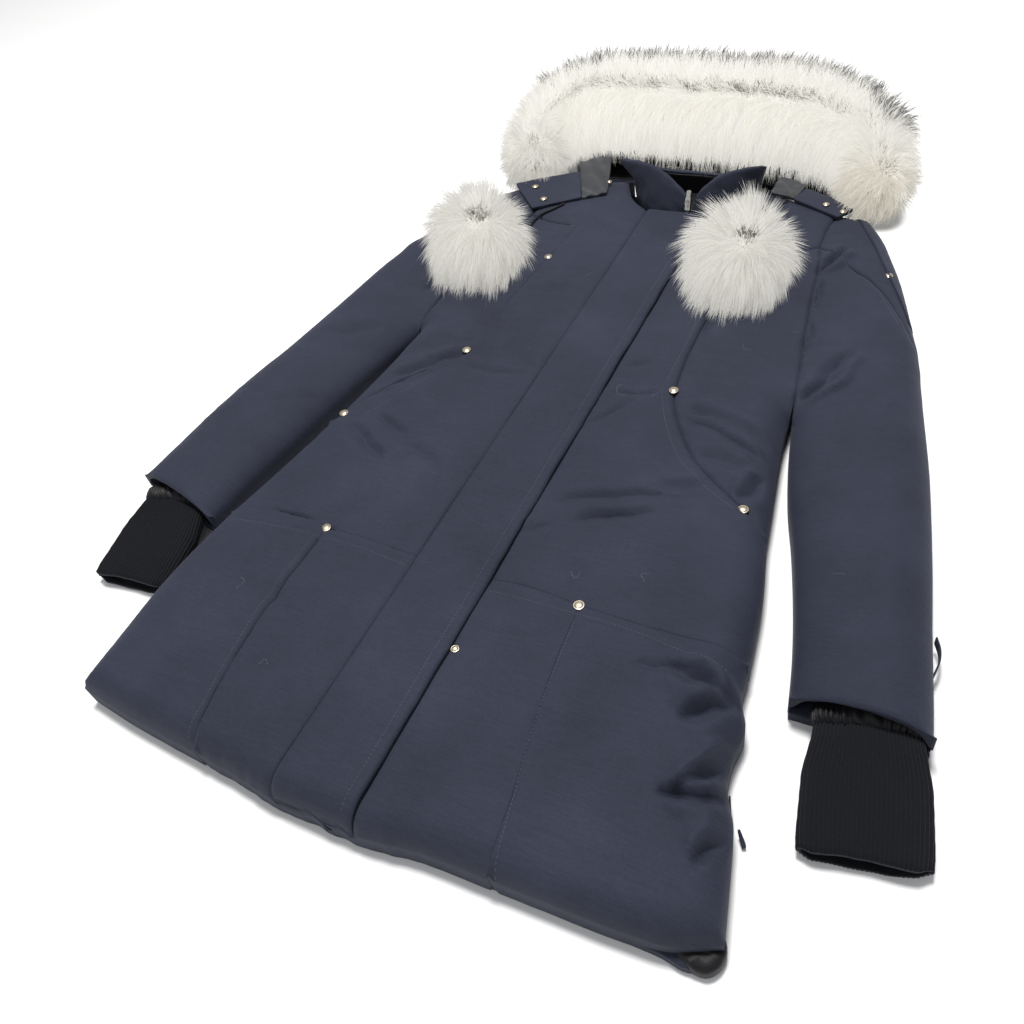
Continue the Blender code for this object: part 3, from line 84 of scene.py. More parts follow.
# Creases: from one end to the other, width of the trough, its depth, and the ridge beside it
CREASES = table(
    "x0 y0 x1 y1 width depth ridge",
    # wearer's left front, below the pocket and beside the placket
    (0.042, 0.306, 0.178, 0.354, 0.0050, 0.0034, 0.7), (0.067, 0.288, 0.143, 0.319, 0.0042, 0.0034, 0.7),
    (0.128, 0.348, 0.175, 0.365, 0.0055, 0.0038, 0.7), (0.031, 0.264, 0.062, 0.277, 0.0040, 0.0022, 0.6),
    (0.034, 0.407, 0.072, 0.456, 0.0036, 0.0020, 0.6), (0.038, 0.457, 0.099, 0.472, 0.0034, 0.0018, 0.6),
    (0.040, 0.500, 0.070, 0.515, 0.0050, 0.0022, 0.6), (0.040, 0.150, 0.110, 0.165, 0.0080, 0.0016, 0.6),
    # the side panel between the pocket and the arm, and the dent above the snap
    (0.123, 0.463, 0.219, 0.431, 0.0065, 0.0046, 0.8), (0.124, 0.449, 0.210, 0.414, 0.0055, 0.0048, 0.8),
    (0.202, 0.361, 0.225, 0.388, 0.0062, 0.0056, 0.7), (0.150, 0.400, 0.205, 0.398, 0.0060, 0.0024, 0.6),
    # the side below
    (0.180, 0.167, 0.224, 0.180, 0.0042, 0.0032, 0.6), (0.208, 0.176, 0.268, 0.165, 0.0066, 0.0088, 0.8),
    (0.226, 0.134, 0.274, 0.172, 0.0066, 0.0090, 0.9), (0.246, 0.086, 0.280, 0.128, 0.0056, 0.0150, 0.7),
    (0.236, 0.074, 0.286, 0.098, 0.0056, 0.0125, 0.8), (0.268, 0.038, 0.292, 0.070, 0.0056, 0.0095, 0.6),
    (0.120, 0.090, 0.200, 0.110, 0.0100, 0.0022, 0.6),
    # wearer's right front and pocket
    (-0.200, 0.342, -0.133, 0.301, 0.0058, 0.0040, 0.7), (-0.180, 0.363, -0.133, 0.345, 0.0042, 0.0032, 0.7),
    (-0.126, 0.334, -0.074, 0.312, 0.0070, 0.0028, 0.7), (-0.201, 0.406, -0.134, 0.480, 0.0060, 0.0042, 0.8),
    (-0.196, 0.393, -0.134, 0.455, 0.0050, 0.0030, 0.7), (-0.135, 0.453, -0.050, 0.465, 0.0042, 0.0017, 0.6),
    (-0.215, 0.450, -0.150, 0.500, 0.0100, 0.0028, 0.6), (-0.090, 0.500, -0.048, 0.475, 0.0080, 0.0018, 0.6),
    (-0.095, 0.755, -0.048, 0.730, 0.0080, 0.0018, 0.6), (-0.040, 0.466, 0.028, 0.464, 0.0044, 0.0014, 0.6),
    (-0.180, 0.120, -0.090, 0.135, 0.0110, 0.0020, 0.6), (-0.110, 0.600, -0.060, 0.620, 0.0070, 0.0014, 0.6),
    # sleeves and armholes
    (0.253, 0.583, 0.226, 0.498, 0.0065, 0.0064, 0.8), (0.258, 0.552, 0.225, 0.502, 0.0052, 0.0036, 0.7),
    (0.290, 0.430, 0.250, 0.390, 0.0090, 0.0028, 0.6), (0.209, 0.757, 0.189, 0.703, 0.0046, 0.0070, 0.9),
    (0.196, 0.700, 0.202, 0.640, 0.0036, 0.0042, 0.4), (0.201, 0.625, 0.210, 0.570, 0.0040, 0.0060, 0.3),
    (-0.250, 0.660, -0.198, 0.690, 0.0080, 0.0066, 0.6), (-0.245, 0.570, -0.205, 0.600, 0.0080, 0.0048, 0.6),
    (-0.310, 0.460, -0.250, 0.490, 0.0090, 0.0032, 0.6), (-0.300, 0.350, -0.250, 0.365, 0.0090, 0.0024, 0.6))
WARP = 0.0045

# How deep the seam sinks: 1 where it is sewn down hard, less where it hardly shows
SEAMS = table("x0 y0 x1 y1 share",
              (-0.1130, 0.7450, -0.1310, 0.4860, 0.15), (-0.1310, 0.4860, -0.2150, 0.3500, 0.90),
              (-0.2500, 0.2000, -0.0400, 0.2050, 0.10), (-0.1373, 0.2061, -0.1170, -0.0230, 0.90),
              (0.0350, 0.2050, 0.2620, 0.1970, 0.20), (0.1209, 0.1951, 0.1500, -0.0200, 0.05),
              (0.1024, 0.7450, 0.0985, 0.6000, 0.90), (0.0985, 0.6000, 0.1035, 0.4800, 1.00),
              (0.1035, 0.4800, 0.1500, 0.4000, 1.00), (0.1500, 0.4000, 0.2350, 0.3400, 1.00))

# Topstitching: points in plan along each row
STITCHES = {
    "placket": ((0.0245, 0.770), (0.0250, 0.500), (0.0250, 0.200), (0.0255, -0.020)),
    "chest_right": ((-0.1190, 0.660), (-0.1235, 0.6093), (-0.1285, 0.5581), (-0.1330, 0.4960)),
    "pocket_right": ((-0.1525, 0.4257), (-0.1709, 0.3987), (-0.1792, 0.3831), (-0.1916, 0.3600)),
    "hip_right": ((-0.2420, 0.1900), (-0.1697, 0.1975), (-0.1049, 0.2000), (-0.0450, 0.1955)),
    "hip_right_down": ((-0.1480, 0.1980), (-0.1470, 0.1111), (-0.1290, -0.0190)),
    "hip_left": ((0.0400, 0.1955), (0.1011, 0.1975), (0.1802, 0.1969), (0.2500, 0.1850)),
    "hip_left_down": ((0.1215, 0.1900), (0.1277, 0.1099), (0.1464, 0.0046), (0.1500, -0.0180)),
    "pocket_left": ((0.0925, 0.4786), (0.1114, 0.4360), (0.1248, 0.4133), (0.1428, 0.3893),
                    (0.1677, 0.3689), (0.2050, 0.3470)),
    "chest_left": ((0.0905, 0.6000), (0.0925, 0.5400), (0.0925, 0.4900)),
    "arm_band": ((0.2075, 0.8350), (0.2420, 0.7675), (0.2620, 0.7245), (0.2850, 0.6805), (0.2990, 0.6560)),
    "cap_left": ((0.1880, 0.7440), (0.2100, 0.7290), (0.2450, 0.6960), (0.2880, 0.6330)),
    "cap_right": ((-0.1880, 0.7480), (-0.2450, 0.7190), (-0.3150, 0.6620)),
}


# ---- noise

def noise(x, y, scale, seed, octaves=2):
    """Smooth noise in the plane, about -1 to 1, with its largest waves of that scale."""
    total = np.zeros(np.shape(x))
    random = np.random.RandomState(seed)
    size = 1.0
    for _ in range(octaves):
        order = random.permutation(256)
        turn = random.uniform(0, 2 * math.pi, 256)
        gx, gy = np.cos(turn), np.sin(turn)
        u, v = x / scale + 31.7, y / scale + 17.3
        iu, iv = np.floor(u).astype(int), np.floor(v).astype(int)
        fu, fv = u - iu, v - iv
        su, sv = fu * fu * fu * (fu * (fu * 6 - 15) + 10), fv * fv * fv * (fv * (fv * 6 - 15) + 10)
        corner = []
        for du in (0, 1):
            for dv in (0, 1):
                h = order[(order[(iu + du) & 255] + iv + dv) & 255]
                corner.append(gx[h] * (fu - du) + gy[h] * (fv - dv))
        low = corner[0] + (corner[1] - corner[0]) * sv
        high = corner[2] + (corner[3] - corner[2]) * sv
        total = total + size * 1.5 * (low + (high - low) * su)
        size *= 0.5
        scale *= 0.5
    return total


# ---- plan outlines

BODY_PANELS = [f"{kind}_{side}" for kind in ("front", "side_front", "hip_inner", "hip_outer")
               for side in SIDES]
# The left cap's folded points near its tip, which its outline leaves out
CAP_TIP = (0.3013, 0.6351)


def welded(node):
    """Vertices and triangles of a CAD node, with equal places joined."""
    mesh = NODES[node].data
    mesh.calc_loop_triangles()
    co = np.array([v.co[:] for v in mesh.vertices])
    tri = np.array([t.vertices[:] for t in mesh.loop_triangles])
    places, index = np.unique(np.round(co, 5), axis=0, return_inverse=True)
    return places, index.reshape(-1)[tri]


def plan_loop(node):
    """Outline in plan, counter-clockwise: of a front panel's foot, or of what looks up elsewhere."""
    co, tri = welded(node)
    a, b, c = (co[tri[:, k]] for k in range(3))
    normal = np.cross(b - a, c - a)
    size = np.linalg.norm(normal, axis=1)
    foot = co[tri][:, :, 2].max(axis=1) < co[:, 2].min() + 0.001
    if node in BODY_PANELS:
        chosen = tri[(normal[:, 2] < -0.9 * size) & foot][:, ::-1]
    else:
        chosen = tri[(normal[:, 2] > 0.10 * size)]
    edges = {(t[k], t[(k + 1) % 3]) for t in chosen for k in range(3)}
    ahead = {e[0]: e[1] for e in sorted(edges) if (e[1], e[0]) not in edges}
    best = []
    while ahead:
        loop = [next(iter(ahead))]
        while True:
            step = ahead.pop(loop[-1], None)
            if step is None or step == loop[0]:
                break
            loop.append(step)
        if len(loop) > len(best):
            best = loop
    loop = co[best][:, :2]
    keep = np.linalg.norm(loop - np.roll(loop, 1, axis=0), axis=1) > 0.0012
    if node == "sleeve_cap_left":
        keep &= np.linalg.norm(loop - CAP_TIP, axis=1) > 0.0060
    return loop[keep]


def catmull(points, step):
    """Smooth curve through points, read at about equal steps."""
    points = np.asarray(points, dtype=float)
    gap = np.linalg.norm(np.diff(points, axis=0), axis=1)[:, None]
    leg = np.diff(points, axis=0) / gap
    slope = np.vstack([leg[:1], (leg[:-1] * gap[1:] + leg[1:] * gap[:-1]) / (gap[:-1] + gap[1:]),
                       leg[-1:]])
    t = np.linspace(0, 1, 12, endpoint=False)[:, None]
    fine = []
    for i in range(len(points) - 1):
        fine.append((2 * t ** 3 - 3 * t ** 2 + 1) * points[i] + (3 * t ** 2 - 2 * t ** 3) * points[i + 1]
                    + gap[i] * ((t ** 3 - 2 * t ** 2 + t) * slope[i] + (t ** 3 - t ** 2) * slope[i + 1]))
    fine = np.vstack(fine + [points[-1:]])
    along = np.concatenate([[0], np.cumsum(np.linalg.norm(np.diff(fine, axis=0), axis=1))])
    count = max(2, int(round(along[-1] / step)) + 1)
    steps = np.linspace(0, along[-1], count)
    return np.stack([np.interp(steps, along, fine[:, k]) for k in range(fine.shape[1])], axis=1)


def smooth_loop(loop, step, corner=38.0):
    """The outline as smooth curves between its corners. Returns points and the corners' indices."""
    back, ahead = loop - np.roll(loop, 1, axis=0), np.roll(loop, -1, axis=0) - loop
    turn = np.abs(np.arctan2(back[:, 0] * ahead[:, 1] - back[:, 1] * ahead[:, 0],
                             np.sum(back * ahead, axis=1)))
    corners = list(np.nonzero(turn > math.radians(corner))[0]) or [0]
    out, marks = [], []
    for k, first in enumerate(corners):
        last = corners[(k + 1) % len(corners)]
        if last <= first:
            last += len(loop)
        span = loop[np.arange(first, last + 1) % len(loop)]
        marks.append(sum(len(o) for o in out))
        out.append(catmull(span, step)[:-1])
    return np.vstack(out), marks


def plan_distance(points, a, b):
    """Distance in plan from each point to the nearest of the segments a to b."""
    best = np.full(len(points), 9.0)
    step = b - a
    size = np.maximum(np.sum(step * step, axis=1), 1e-12)
    for k in range(0, len(points), 4000):
        p = points[k:k + 4000, None, :] - a[None]
        t = np.clip(np.sum(p * step[None], axis=2) / size, 0, 1)
        gap = p - step[None] * t[:, :, None]
        best[k:k + 4000] = np.sqrt(np.min(np.sum(gap * gap, axis=2), axis=1))
    return best


def inside(points, loop):
    """Whether each point is inside a loop."""
    a, b = loop, np.roll(loop, -1, axis=0)
    hit = np.zeros(len(points), dtype=bool)
    for k in range(0, len(points), 4000):
        x, y = points[k:k + 4000, 0, None], points[k:k + 4000, 1, None]
        cross = ((a[None, :, 1] > y) != (b[None, :, 1] > y))
        slope = (b[:, 0] - a[:, 0]) / np.where(b[:, 1] == a[:, 1], 1e-12, b[:, 1] - a[:, 1])
        right = x < a[None, :, 0] + (y - a[None, :, 1]) * slope[None]
        hit[k:k + 4000] = np.sum(cross & right, axis=1) % 2 == 1
    return hit


def loop_segments(loop):
    """Both ends of each segment of a closed loop."""
    return loop, np.roll(loop, -1, axis=0)


def line_distance(points, line):
    """Distance in plan from each point to an open line."""
    return plan_distance(points, line[:-1], line[1:])


def unit(v):
    """Rows of length 1."""
    return v / np.maximum(np.linalg.norm(v, axis=1)[:, None], 1e-9)


def leftward(ahead):
    """The way to the left of each direction in plan."""
    return unit(np.stack([-ahead[:, 1], ahead[:, 0]], axis=1))


def inward(loop):
    """The way into a loop at each of its points."""
    return leftward(np.roll(loop, -1, axis=0) - np.roll(loop, 1, axis=0))


def beside(line, away):
    """A line moved sideways in plan."""
    return line + leftward(np.gradient(line, axis=0)) * away


def hem_wave(loop):
    """The hem puckers a little along its stitching."""
    out = loop.copy()
    low = np.clip(1 - (loop[:, 1] - HEM) / 0.012, 0, 1)
    out[:, 1] += 0.0013 * low * noise(loop[:, 0], loop[:, 0] * 0.3, 0.022, 27, 2)
    return out


SLEEVE_PANELS = [f"{kind}_{side}" for kind in ("sleeve_top", "sleeve_cap")
                 for side in SIDES]
LOOPS, MARKS = {}, {}
for node in BODY_PANELS + SLEEVE_PANELS + ["storm_placket", "back_panel", "sleeve_under_right",
                                           "sleeve_under_left"]:
    LOOPS[node], MARKS[node] = smooth_loop(plan_loop(node), OUTLINE_STEP)
    if not node.startswith("sleeve"):
        LOOPS[node] = hem_wave(LOOPS[node])


def outer_segments(members, others):
    """Segments of the members' outlines that no other outline touches."""
    found_a, found_b = [], []
    for node in members:
        a, b = loop_segments(LOOPS[node])
        middle = (a + b) / 2
        shared = np.zeros(len(a), dtype=bool)
        for other in others:
            if other != node:
                near = plan_distance(middle, *loop_segments(LOOPS[other])) < 0.0030
                shared |= near
        shared |= inside(middle, LOOPS["storm_placket"])
        shared |= (middle[:, 1] > 0.795) & (np.abs(middle[:, 0]) < 0.0885)
        if node.startswith("sleeve_top"):
            corners = LOOPS[node][MARKS[node]]
            low = corners[np.argsort(corners[:, 1])[:2]]
            shared |= plan_distance(middle, low[:1], low[1:2]) < 0.006
        found_a.append(a[~shared])
        found_b.append(b[~shared])
    return np.vstack(found_a), np.vstack(found_b)


EVERY = BODY_PANELS + SLEEVE_PANELS
BODY_OUT = {s: outer_segments([n for n in BODY_PANELS if n.endswith(s)], EVERY)
            for s in SIDES}
SLEEVE_OUT = {s: outer_segments([n for n in SLEEVE_PANELS if n.endswith(s)], EVERY)
              for s in SIDES}
# The left cap ends in a tip too narrow for the test above: its outer side is added
SLEEVE_OUT["left"] = tuple(np.vstack([found, [tip]]) for found, tip in
                           zip(SLEEVE_OUT["left"], ((0.3182, 0.5912), (0.3142, 0.6071))))
BODY_ALL = {s: tuple(np.vstack(x) for x in zip(*(loop_segments(LOOPS[n]) for n in BODY_PANELS
                                                 if n.endswith(s)))) for s in SIDES}


# ---- heights

def rolled(away, low, high, width):
    """Height of an edge that rounds up from low to high over that width."""
    t = np.minimum(away / width, 1.0)
    return low + (high - low) * np.sqrt(np.maximum(0, 1 - (1 - t) ** 2))


def warp(p):
    """Bends the plan a little, so that no crease runs straight."""
    return WARP * np.stack([noise(p[:, 0], p[:, 1], 0.035, 5), noise(p[:, 0], p[:, 1], 0.035, 6)], axis=1)


def creased(p):
    """Height change of the creases: a sharp line in a soft trough, and a ridge on each side."""
    q = p + warp(p)
    total = np.zeros(len(p))
    for x0, y0, x1, y1, width, depth, ridge in zip(*CREASES.values()):
        a, b = np.array([x0, y0]), np.array([x1, y1])
        step = b - a
        size = np.linalg.norm(step)
        t = ((q - a) @ step) / size ** 2
        side = ((q - a) @ np.array([-step[1], step[0]])) / size
        fade = np.clip(1 - np.abs(t * 2 - 1) ** 3, 0, 1) * (np.abs(t * 2 - 1) < 1)
        w = width * (0.55 + 0.45 * fade)
        total -= depth * fade * (0.65 * np.exp(-(side / w) ** 2) + 0.35 * np.exp(-np.abs(side) / (0.35 * w)))
        total += depth * ridge * fade * np.exp(-((side - 2.1 * w) / (1.2 * w)) ** 2)
        total += depth * 0.5 * ridge * fade * np.exp(-((side + 2.2 * w) / (1.3 * w)) ** 2)
    return CREASE_GAIN * total


def soft(p):
    """Slack of the padded cloth: broad waves and finer, long wrinkles."""
    x, y = p[:, 0], p[:, 1]
    broad = 0.0016 * noise(x, y, 0.120, 11, 2)
    fine = noise(x * 0.55 + y * 0.2, y * 1.5 - x * 0.35, 0.055, 12, 2)
    small = noise(x * 0.7 + y * 0.3, y * 1.3 - x * 0.5, 0.024, 13, 2)
    patch = np.clip(0.5 + noise(x, y, 0.15, 14, 1), 0.1, 1)
    return broad + patch * (0.0011 * (1 - np.abs(fine)) ** 3 + 0.0004 * (1 - np.abs(small)) ** 2) - 0.0006


def ramp(x, low, high):
    """0 below low, 1 above high and smooth between them."""
    t = np.clip((x - low) / (high - low), 0, 1)
    return t * t * (3 - 2 * t)


def roll_width(y):
    """The hem rolls over more sharply than the sides."""
    return HEM_ROLL + (EDGE_ROLL - HEM_ROLL) * ramp(y, 0.0, 0.06)


def middle_height(y):
    """Height of the coat along its middle, where the placket lies."""
    return rolled(np.minimum(np.maximum(y - HEM, 0), 0.05), EDGE_TOP, BODY_TOP, roll_width(y))


def seam_share(p):
    """How hard the nearest seam is sewn down."""
    best, share = np.full(len(p), 0.012), np.ones(len(p))
    for x0, y0, x1, y1, value in zip(*SEAMS.values()):
        away = plan_distance(p, np.array([[x0, y0]]), np.array([[x1, y1]]))
        near = away < best
        best, share = np.where(near, away, best), np.where(near, value, share)
    return share


STITCH_ROWS = {name: catmull(row, STITCH_STEP) for name, row in STITCHES.items()}


def stitched(p):
    """The groove that a row of topstitching pulls in."""
    total = np.zeros(len(p))
    for row in STITCH_ROWS.values():
        total -= GROOVE_DEPTH * np.exp(-(line_distance(p, row) / GROOVE_WIDTH) ** 2)
    return total


def pucker(p, edge):
    """Small pulls beside a sewn edge."""
    return 0.00035 * np.exp(-edge / 0.009) * noise(p[:, 0], p[:, 1], 0.011, 21, 2)


def sewn(p, edge, free):
    """A sewn edge turns down into its seam."""
    share = seam_share(p) * free
    return -SEWN_DEPTH * share * np.exp(-(edge / SEWN_WIDTH) ** 1.5) - 0.0006 * share * np.exp(-edge / 0.006)


def slit(y):
    """Width of the dark gap beside the placket's loose edge, which comes and goes."""
    return 0.0006 + 0.0016 * np.clip(noise(y, y * 0.3, 0.11, 33, 2), 0, 1)


# The pocket's edge lies on the side panel, and gapes a little at the chest
CHEST_GAP = catmull(((0.1050, 0.6650), (0.1035, 0.6300), (0.1040, 0.5850), (0.1060, 0.5400)), 0.004)
POCKET_LEFT = catmull(((0.1000, 0.6000), (0.1050, 0.4800), (0.1293, 0.4272), (0.1571, 0.3936),
                       (0.1880, 0.3687), (0.2350, 0.3400)), 0.004)
POCKET_RIGHT = catmull(((-0.1340, 0.4800), (-0.1600, 0.4250), (-0.1850, 0.3920), (-0.2150, 0.3500)), 0.004)


def opened(p, node):
    """The side panel under the edge of the pocket."""
    if node == "side_front_left":
        gap = line_distance(p, CHEST_GAP)
        edge = line_distance(p, POCKET_LEFT)
        taper = ramp(p[:, 1], 0.535, 0.600)
        return -0.0075 * taper * np.exp(-(gap / 0.0042) ** 2) - 0.0016 * np.exp(-edge / 0.009)
    if node == "side_front_right":
        return -0.0014 * np.exp(-line_distance(p, POCKET_RIGHT) / 0.008)
    return 0.0


def body_height(p, edge, node):
    """Top of the front panels; edge is the distance to the panel's own outline."""
    side = node.split("_")[-1]
    away = plan_distance(p, *BODY_OUT[side])
    free = np.clip(away / 0.02, 0, 1)
    z = rolled(away, EDGE_TOP, BODY_TOP + 0.0008 * (1 - np.exp(-edge / 0.020)), roll_width(p[:, 1]))
    z += creased(p) * np.clip(away / 0.015, 0.25, 1) + soft(p) * np.clip(away / 0.03, 0.15, 1)
    z += pucker(p, edge) + stitched(p) + sewn(p, edge, free) + opened(p, node)
    x, y = p[:, 0], p[:, 1]
    under = middle_height(y) - PLACKET["recess"]
    if side == "left":
        z -= 0.0026 * np.exp(-np.maximum(x - PLACKET["x1"], 0) / 0.014)
        lip = PLACKET["x1"] + slit(y)
        return np.where(x < lip + 0.0012, under + (z - under) * ramp(x, lip - 0.0016, lip + 0.0012), z)
    z -= 0.0020 * np.exp(-np.maximum(PLACKET["x0"] - x, 0) / 0.0022)
    return np.where(x > PLACKET["x0"] - 0.0001, under, z)


def sleeve_height(p, edge, side):
    """Top of the sleeve panels, which stand higher away from the body."""
    away = plan_distance(p, *SLEEVE_OUT[side])
    near = np.minimum(plan_distance(p, *BODY_ALL[side]) / 0.10, 1.0)
    top = BODY_TOP + (SLEEVE_TOP - BODY_TOP) * near
    z = rolled(away, EDGE_TOP, top, SLEEVE_ROLL)
    free = np.clip(away / 0.02, 0, 1)
    z += (creased(p) + soft(p)) * np.clip(away / 0.03, 0.15, 1)
    z += pucker(p, edge) + stitched(p) + sewn(p, edge, free)
    return z


# ---- meshes

def fill(loop, step, rows_on=()):
    """Points and triangles that fill a loop, closer together beside its edge and along rows."""
    a, b = loop_segments(loop)
    rows = []
    for off in EDGE_ROWS:
        row = loop + inward(loop) * off
        rows.append(row[(plan_distance(row, a, b) > off * 0.93) & inside(row, loop)])
    low, high = loop.min(0), loop.max(0)
    ys = np.arange(low[1], high[1], step * 0.866)
    xs = np.arange(low[0], high[0], step)
    grid = np.array([(x + (step / 2 if k % 2 else 0), y) for k, y in enumerate(ys) for x in xs])
    if len(grid):
        grid = grid[inside(grid, loop)]
        grid = grid[plan_distance(grid, a, b) > EDGE_ROWS[-1] + step * 0.6]
        for line in rows_on:
            grid = grid[line_distance(grid, line) > step * 0.45]
        rows.append(grid)
    for line in rows_on:
        held = inside(line, loop)
        rows.append(line[held & (plan_distance(line, a, b) > 0.0045)])
    points = np.vstack([loop] + rows)
    count = len(loop)
    edges = [(k, (k + 1) % count) for k in range(count)]
    out, _, faces, origin, _, _ = delaunay_2d_cdt([Vector(p) for p in points], edges, [], 1, 1e-7)
    where = {}
    for k, source in enumerate(origin):
        for s in source:
            where[s] = k
    rim = [where[k] for k in range(count)]
    return np.array([v[:] for v in out]), [tuple(f) for f in faces], rim


def placed(name, data):
    """A new object in the scene that holds this mesh, curve, lamp or camera."""
    obj = bpy.data.objects.new(name, data)
    bpy.context.scene.collection.objects.link(obj)
    return obj


def finished(name, mesh, mat, smooth=True):
    """An object of one material, smooth shaded unless it has sharp edges."""
    mesh.materials.clear()
    mesh.materials.append(mat)
    if smooth:
        mesh.polygons.foreach_set("use_smooth", [True] * len(mesh.polygons))
    return placed(name, mesh)


def mesh_object(name, verts, faces, mat, smooth=True):
    """An object of one material from vertices and faces."""
    mesh = bpy.data.meshes.new(name)
    mesh.from_pydata([tuple(v) for v in verts], [], faces)
    mesh.update()
    return finished(name, mesh, mat, smooth)


def tube_faces(rings, count, first=0, closed=False):
    """Quads between rings of count points each; closed joins the last ring to the first."""
    faces = []
    for r in range(rings if closed else rings - 1):
        a, b = first + r * count, first + (r + 1) % rings * count
        faces += [(a + k, a + (k + 1) % count, b + (k + 1) % count, b + k) for k in range(count)]
    return faces


def round_faces(count, first=0):
    """One face over a ring of count points."""
    return tuple(range(first, first + count))


def squared_round(turn, power):
    """Points of a round outline drawn out towards a rectangle's corners."""
    cos, sin = np.cos(turn), np.sin(turn)
    return np.sign(cos) * np.abs(cos) ** power, np.sign(sin) * np.abs(sin) ** power


def sewing_rows():
    """Rows of points that carry the stitch grooves and the placket's edges."""
    rows = [beside(row, away) for row in STITCH_ROWS.values() for away in (-GROOVE_WIDTH, 0.0, GROOVE_WIDTH)]
    for x0, y0, x1, y1, width in zip(*(CREASES[k] for k in ("x0", "y0", "x1", "y1", "width"))):
        line = catmull(((x0, y0), (x1, y1)), 0.0026)
        line = line - warp(line - warp(line))
        rows += [beside(line, away * width) for away in (-0.35, 0.0, 0.35)]
    ys = np.arange(-0.0255, 0.798, 0.0025)
    for x in PLACKET["rows"]:
        rows.append(np.column_stack([np.full(len(ys), x), ys]))
    return rows


def close_panel(name, loop, height, base, mat, step=CELL, bulge=0.0, bottom=None, rows=(), skirt=None,
                spread=0.0):
    """A padded panel: its shaped top, a side wall and an underside. Along the coat's outer edge,
    given by skirt, the wall reaches down over the panel that it lies on."""
    points, faces, rim = fill(loop, step, rows)
    edge = plan_distance(points, *loop_segments(loop))
    count = len(rim)
    outward = -inward(points[rim])
    points[rim] += outward * spread
    ring = points[rim]
    top = height(points, edge)
    verts = [np.column_stack([points, top])]
    low = np.full(count, float(base))
    if bottom is not None:
        low = bottom(ring - outward * 0.0025, np.zeros(count))
        low = (np.roll(low, 1) + low * 2 + np.roll(low, -1)) / 4
    low = np.minimum(low, top[rim] - 0.0006)
    foot, inner = low, ring
    if skirt is not None:
        outer = plan_distance(ring, *skirt) < 0.0006
        foot = np.where(outer, SKIRT_FOOT, low)
        inner = ring - outward * SKIRT * outer[:, None]
    rings = [list(rim)]
    start = len(points)

    def add_ring(place, z):
        nonlocal start
        verts.append(np.column_stack([place, z]))
        rings.append(list(range(start, start + count)))
        start += count
    for part in (0.12, 0.5, 0.88):
        out = bulge * math.sin(math.pi * part) ** 0.6
        add_ring(ring + outward * out, top[rim] + (foot - top[rim]) * part)
    if skirt is not None:
        add_ring(ring - outward * 0.0001, foot)
        add_ring(inner, foot + 0.0002)
    if bottom is None:
        add_ring(inner, low)
        all_faces = list(faces) + [tuple(reversed(rings[-1]))]
    else:
        under = np.minimum(bottom(points, edge), top - 0.0006)
        under[rim] = low
        flat = points.copy()
        flat[rim] = inner
        verts.append(np.column_stack([flat, under]))
        rings.append([start + k for k in rim])
        all_faces = list(faces) + [tuple(start + k for k in reversed(f)) for f in faces]
    for upper, lower in zip(rings[:-1], rings[1:]):
        for k in range(count):
            n = (k + 1) % count
            all_faces.append((upper[k], lower[k], lower[n], upper[n]))
    return mesh_object(name, np.vstack(verts), all_faces, mat)


def cad_tree(node):
    """A CAD node's surface, to cast rays on."""
    co, tri = welded(node)
    return BVHTree.FromPolygons([tuple(v) for v in co], [tuple(t) for t in tri])


def height_below(tree, points):
    """Height of a CAD node's underside at plan points."""
    hits = [tree.ray_cast(Vector((x, y, -1.0)), Vector((0, 0, 1.0)))[0] for x, y in points]
    out = np.array([h.z if h is not None else np.nan for h in hits])
    lost, found = np.isnan(out), ~np.isnan(out)
    for k in np.nonzero(lost)[0]:
        gap = np.sum((points[found] - points[k]) ** 2, axis=1)
        out[k] = out[found][np.argmin(gap)]
    return out


# ---- materials

def shader(name, colour, rough, sheen=0.0, sheen_tint=(1, 1, 1), metallic=0.0, specular=0.5):
    """A new material, its node tree and its shader."""
    mat = bpy.data.materials.new(name)
    mat.use_nodes = True
    tree = mat.node_tree
    bsdf = tree.nodes["Principled BSDF"]
    bsdf.inputs["Base Color"].default_value = (*colour, 1)
    bsdf.inputs["Roughness"].default_value = rough
    bsdf.inputs["Metallic"].default_value = metallic
    bsdf.inputs["Specular IOR Level"].default_value = specular
    bsdf.inputs["Sheen Weight"].default_value = sheen
    bsdf.inputs["Sheen Roughness"].default_value = 0.5
    bsdf.inputs["Sheen Tint"].default_value = (*sheen_tint, 1)
    return mat, tree, bsdf


def add(tree, kind, inputs=None, **settings):
    """A node's outputs. Each of its inputs is given a value, or an output to be linked to."""
    node = tree.nodes.new("ShaderNode" + kind)
    for key, value in settings.items():
        setattr(node, key, value)
    for key, value in (inputs or {}).items():
        if isinstance(value, bpy.types.NodeSocket):
            tree.links.new(value, node.inputs[key])
        else:
            node.inputs[key].default_value = value
    return node.outputs


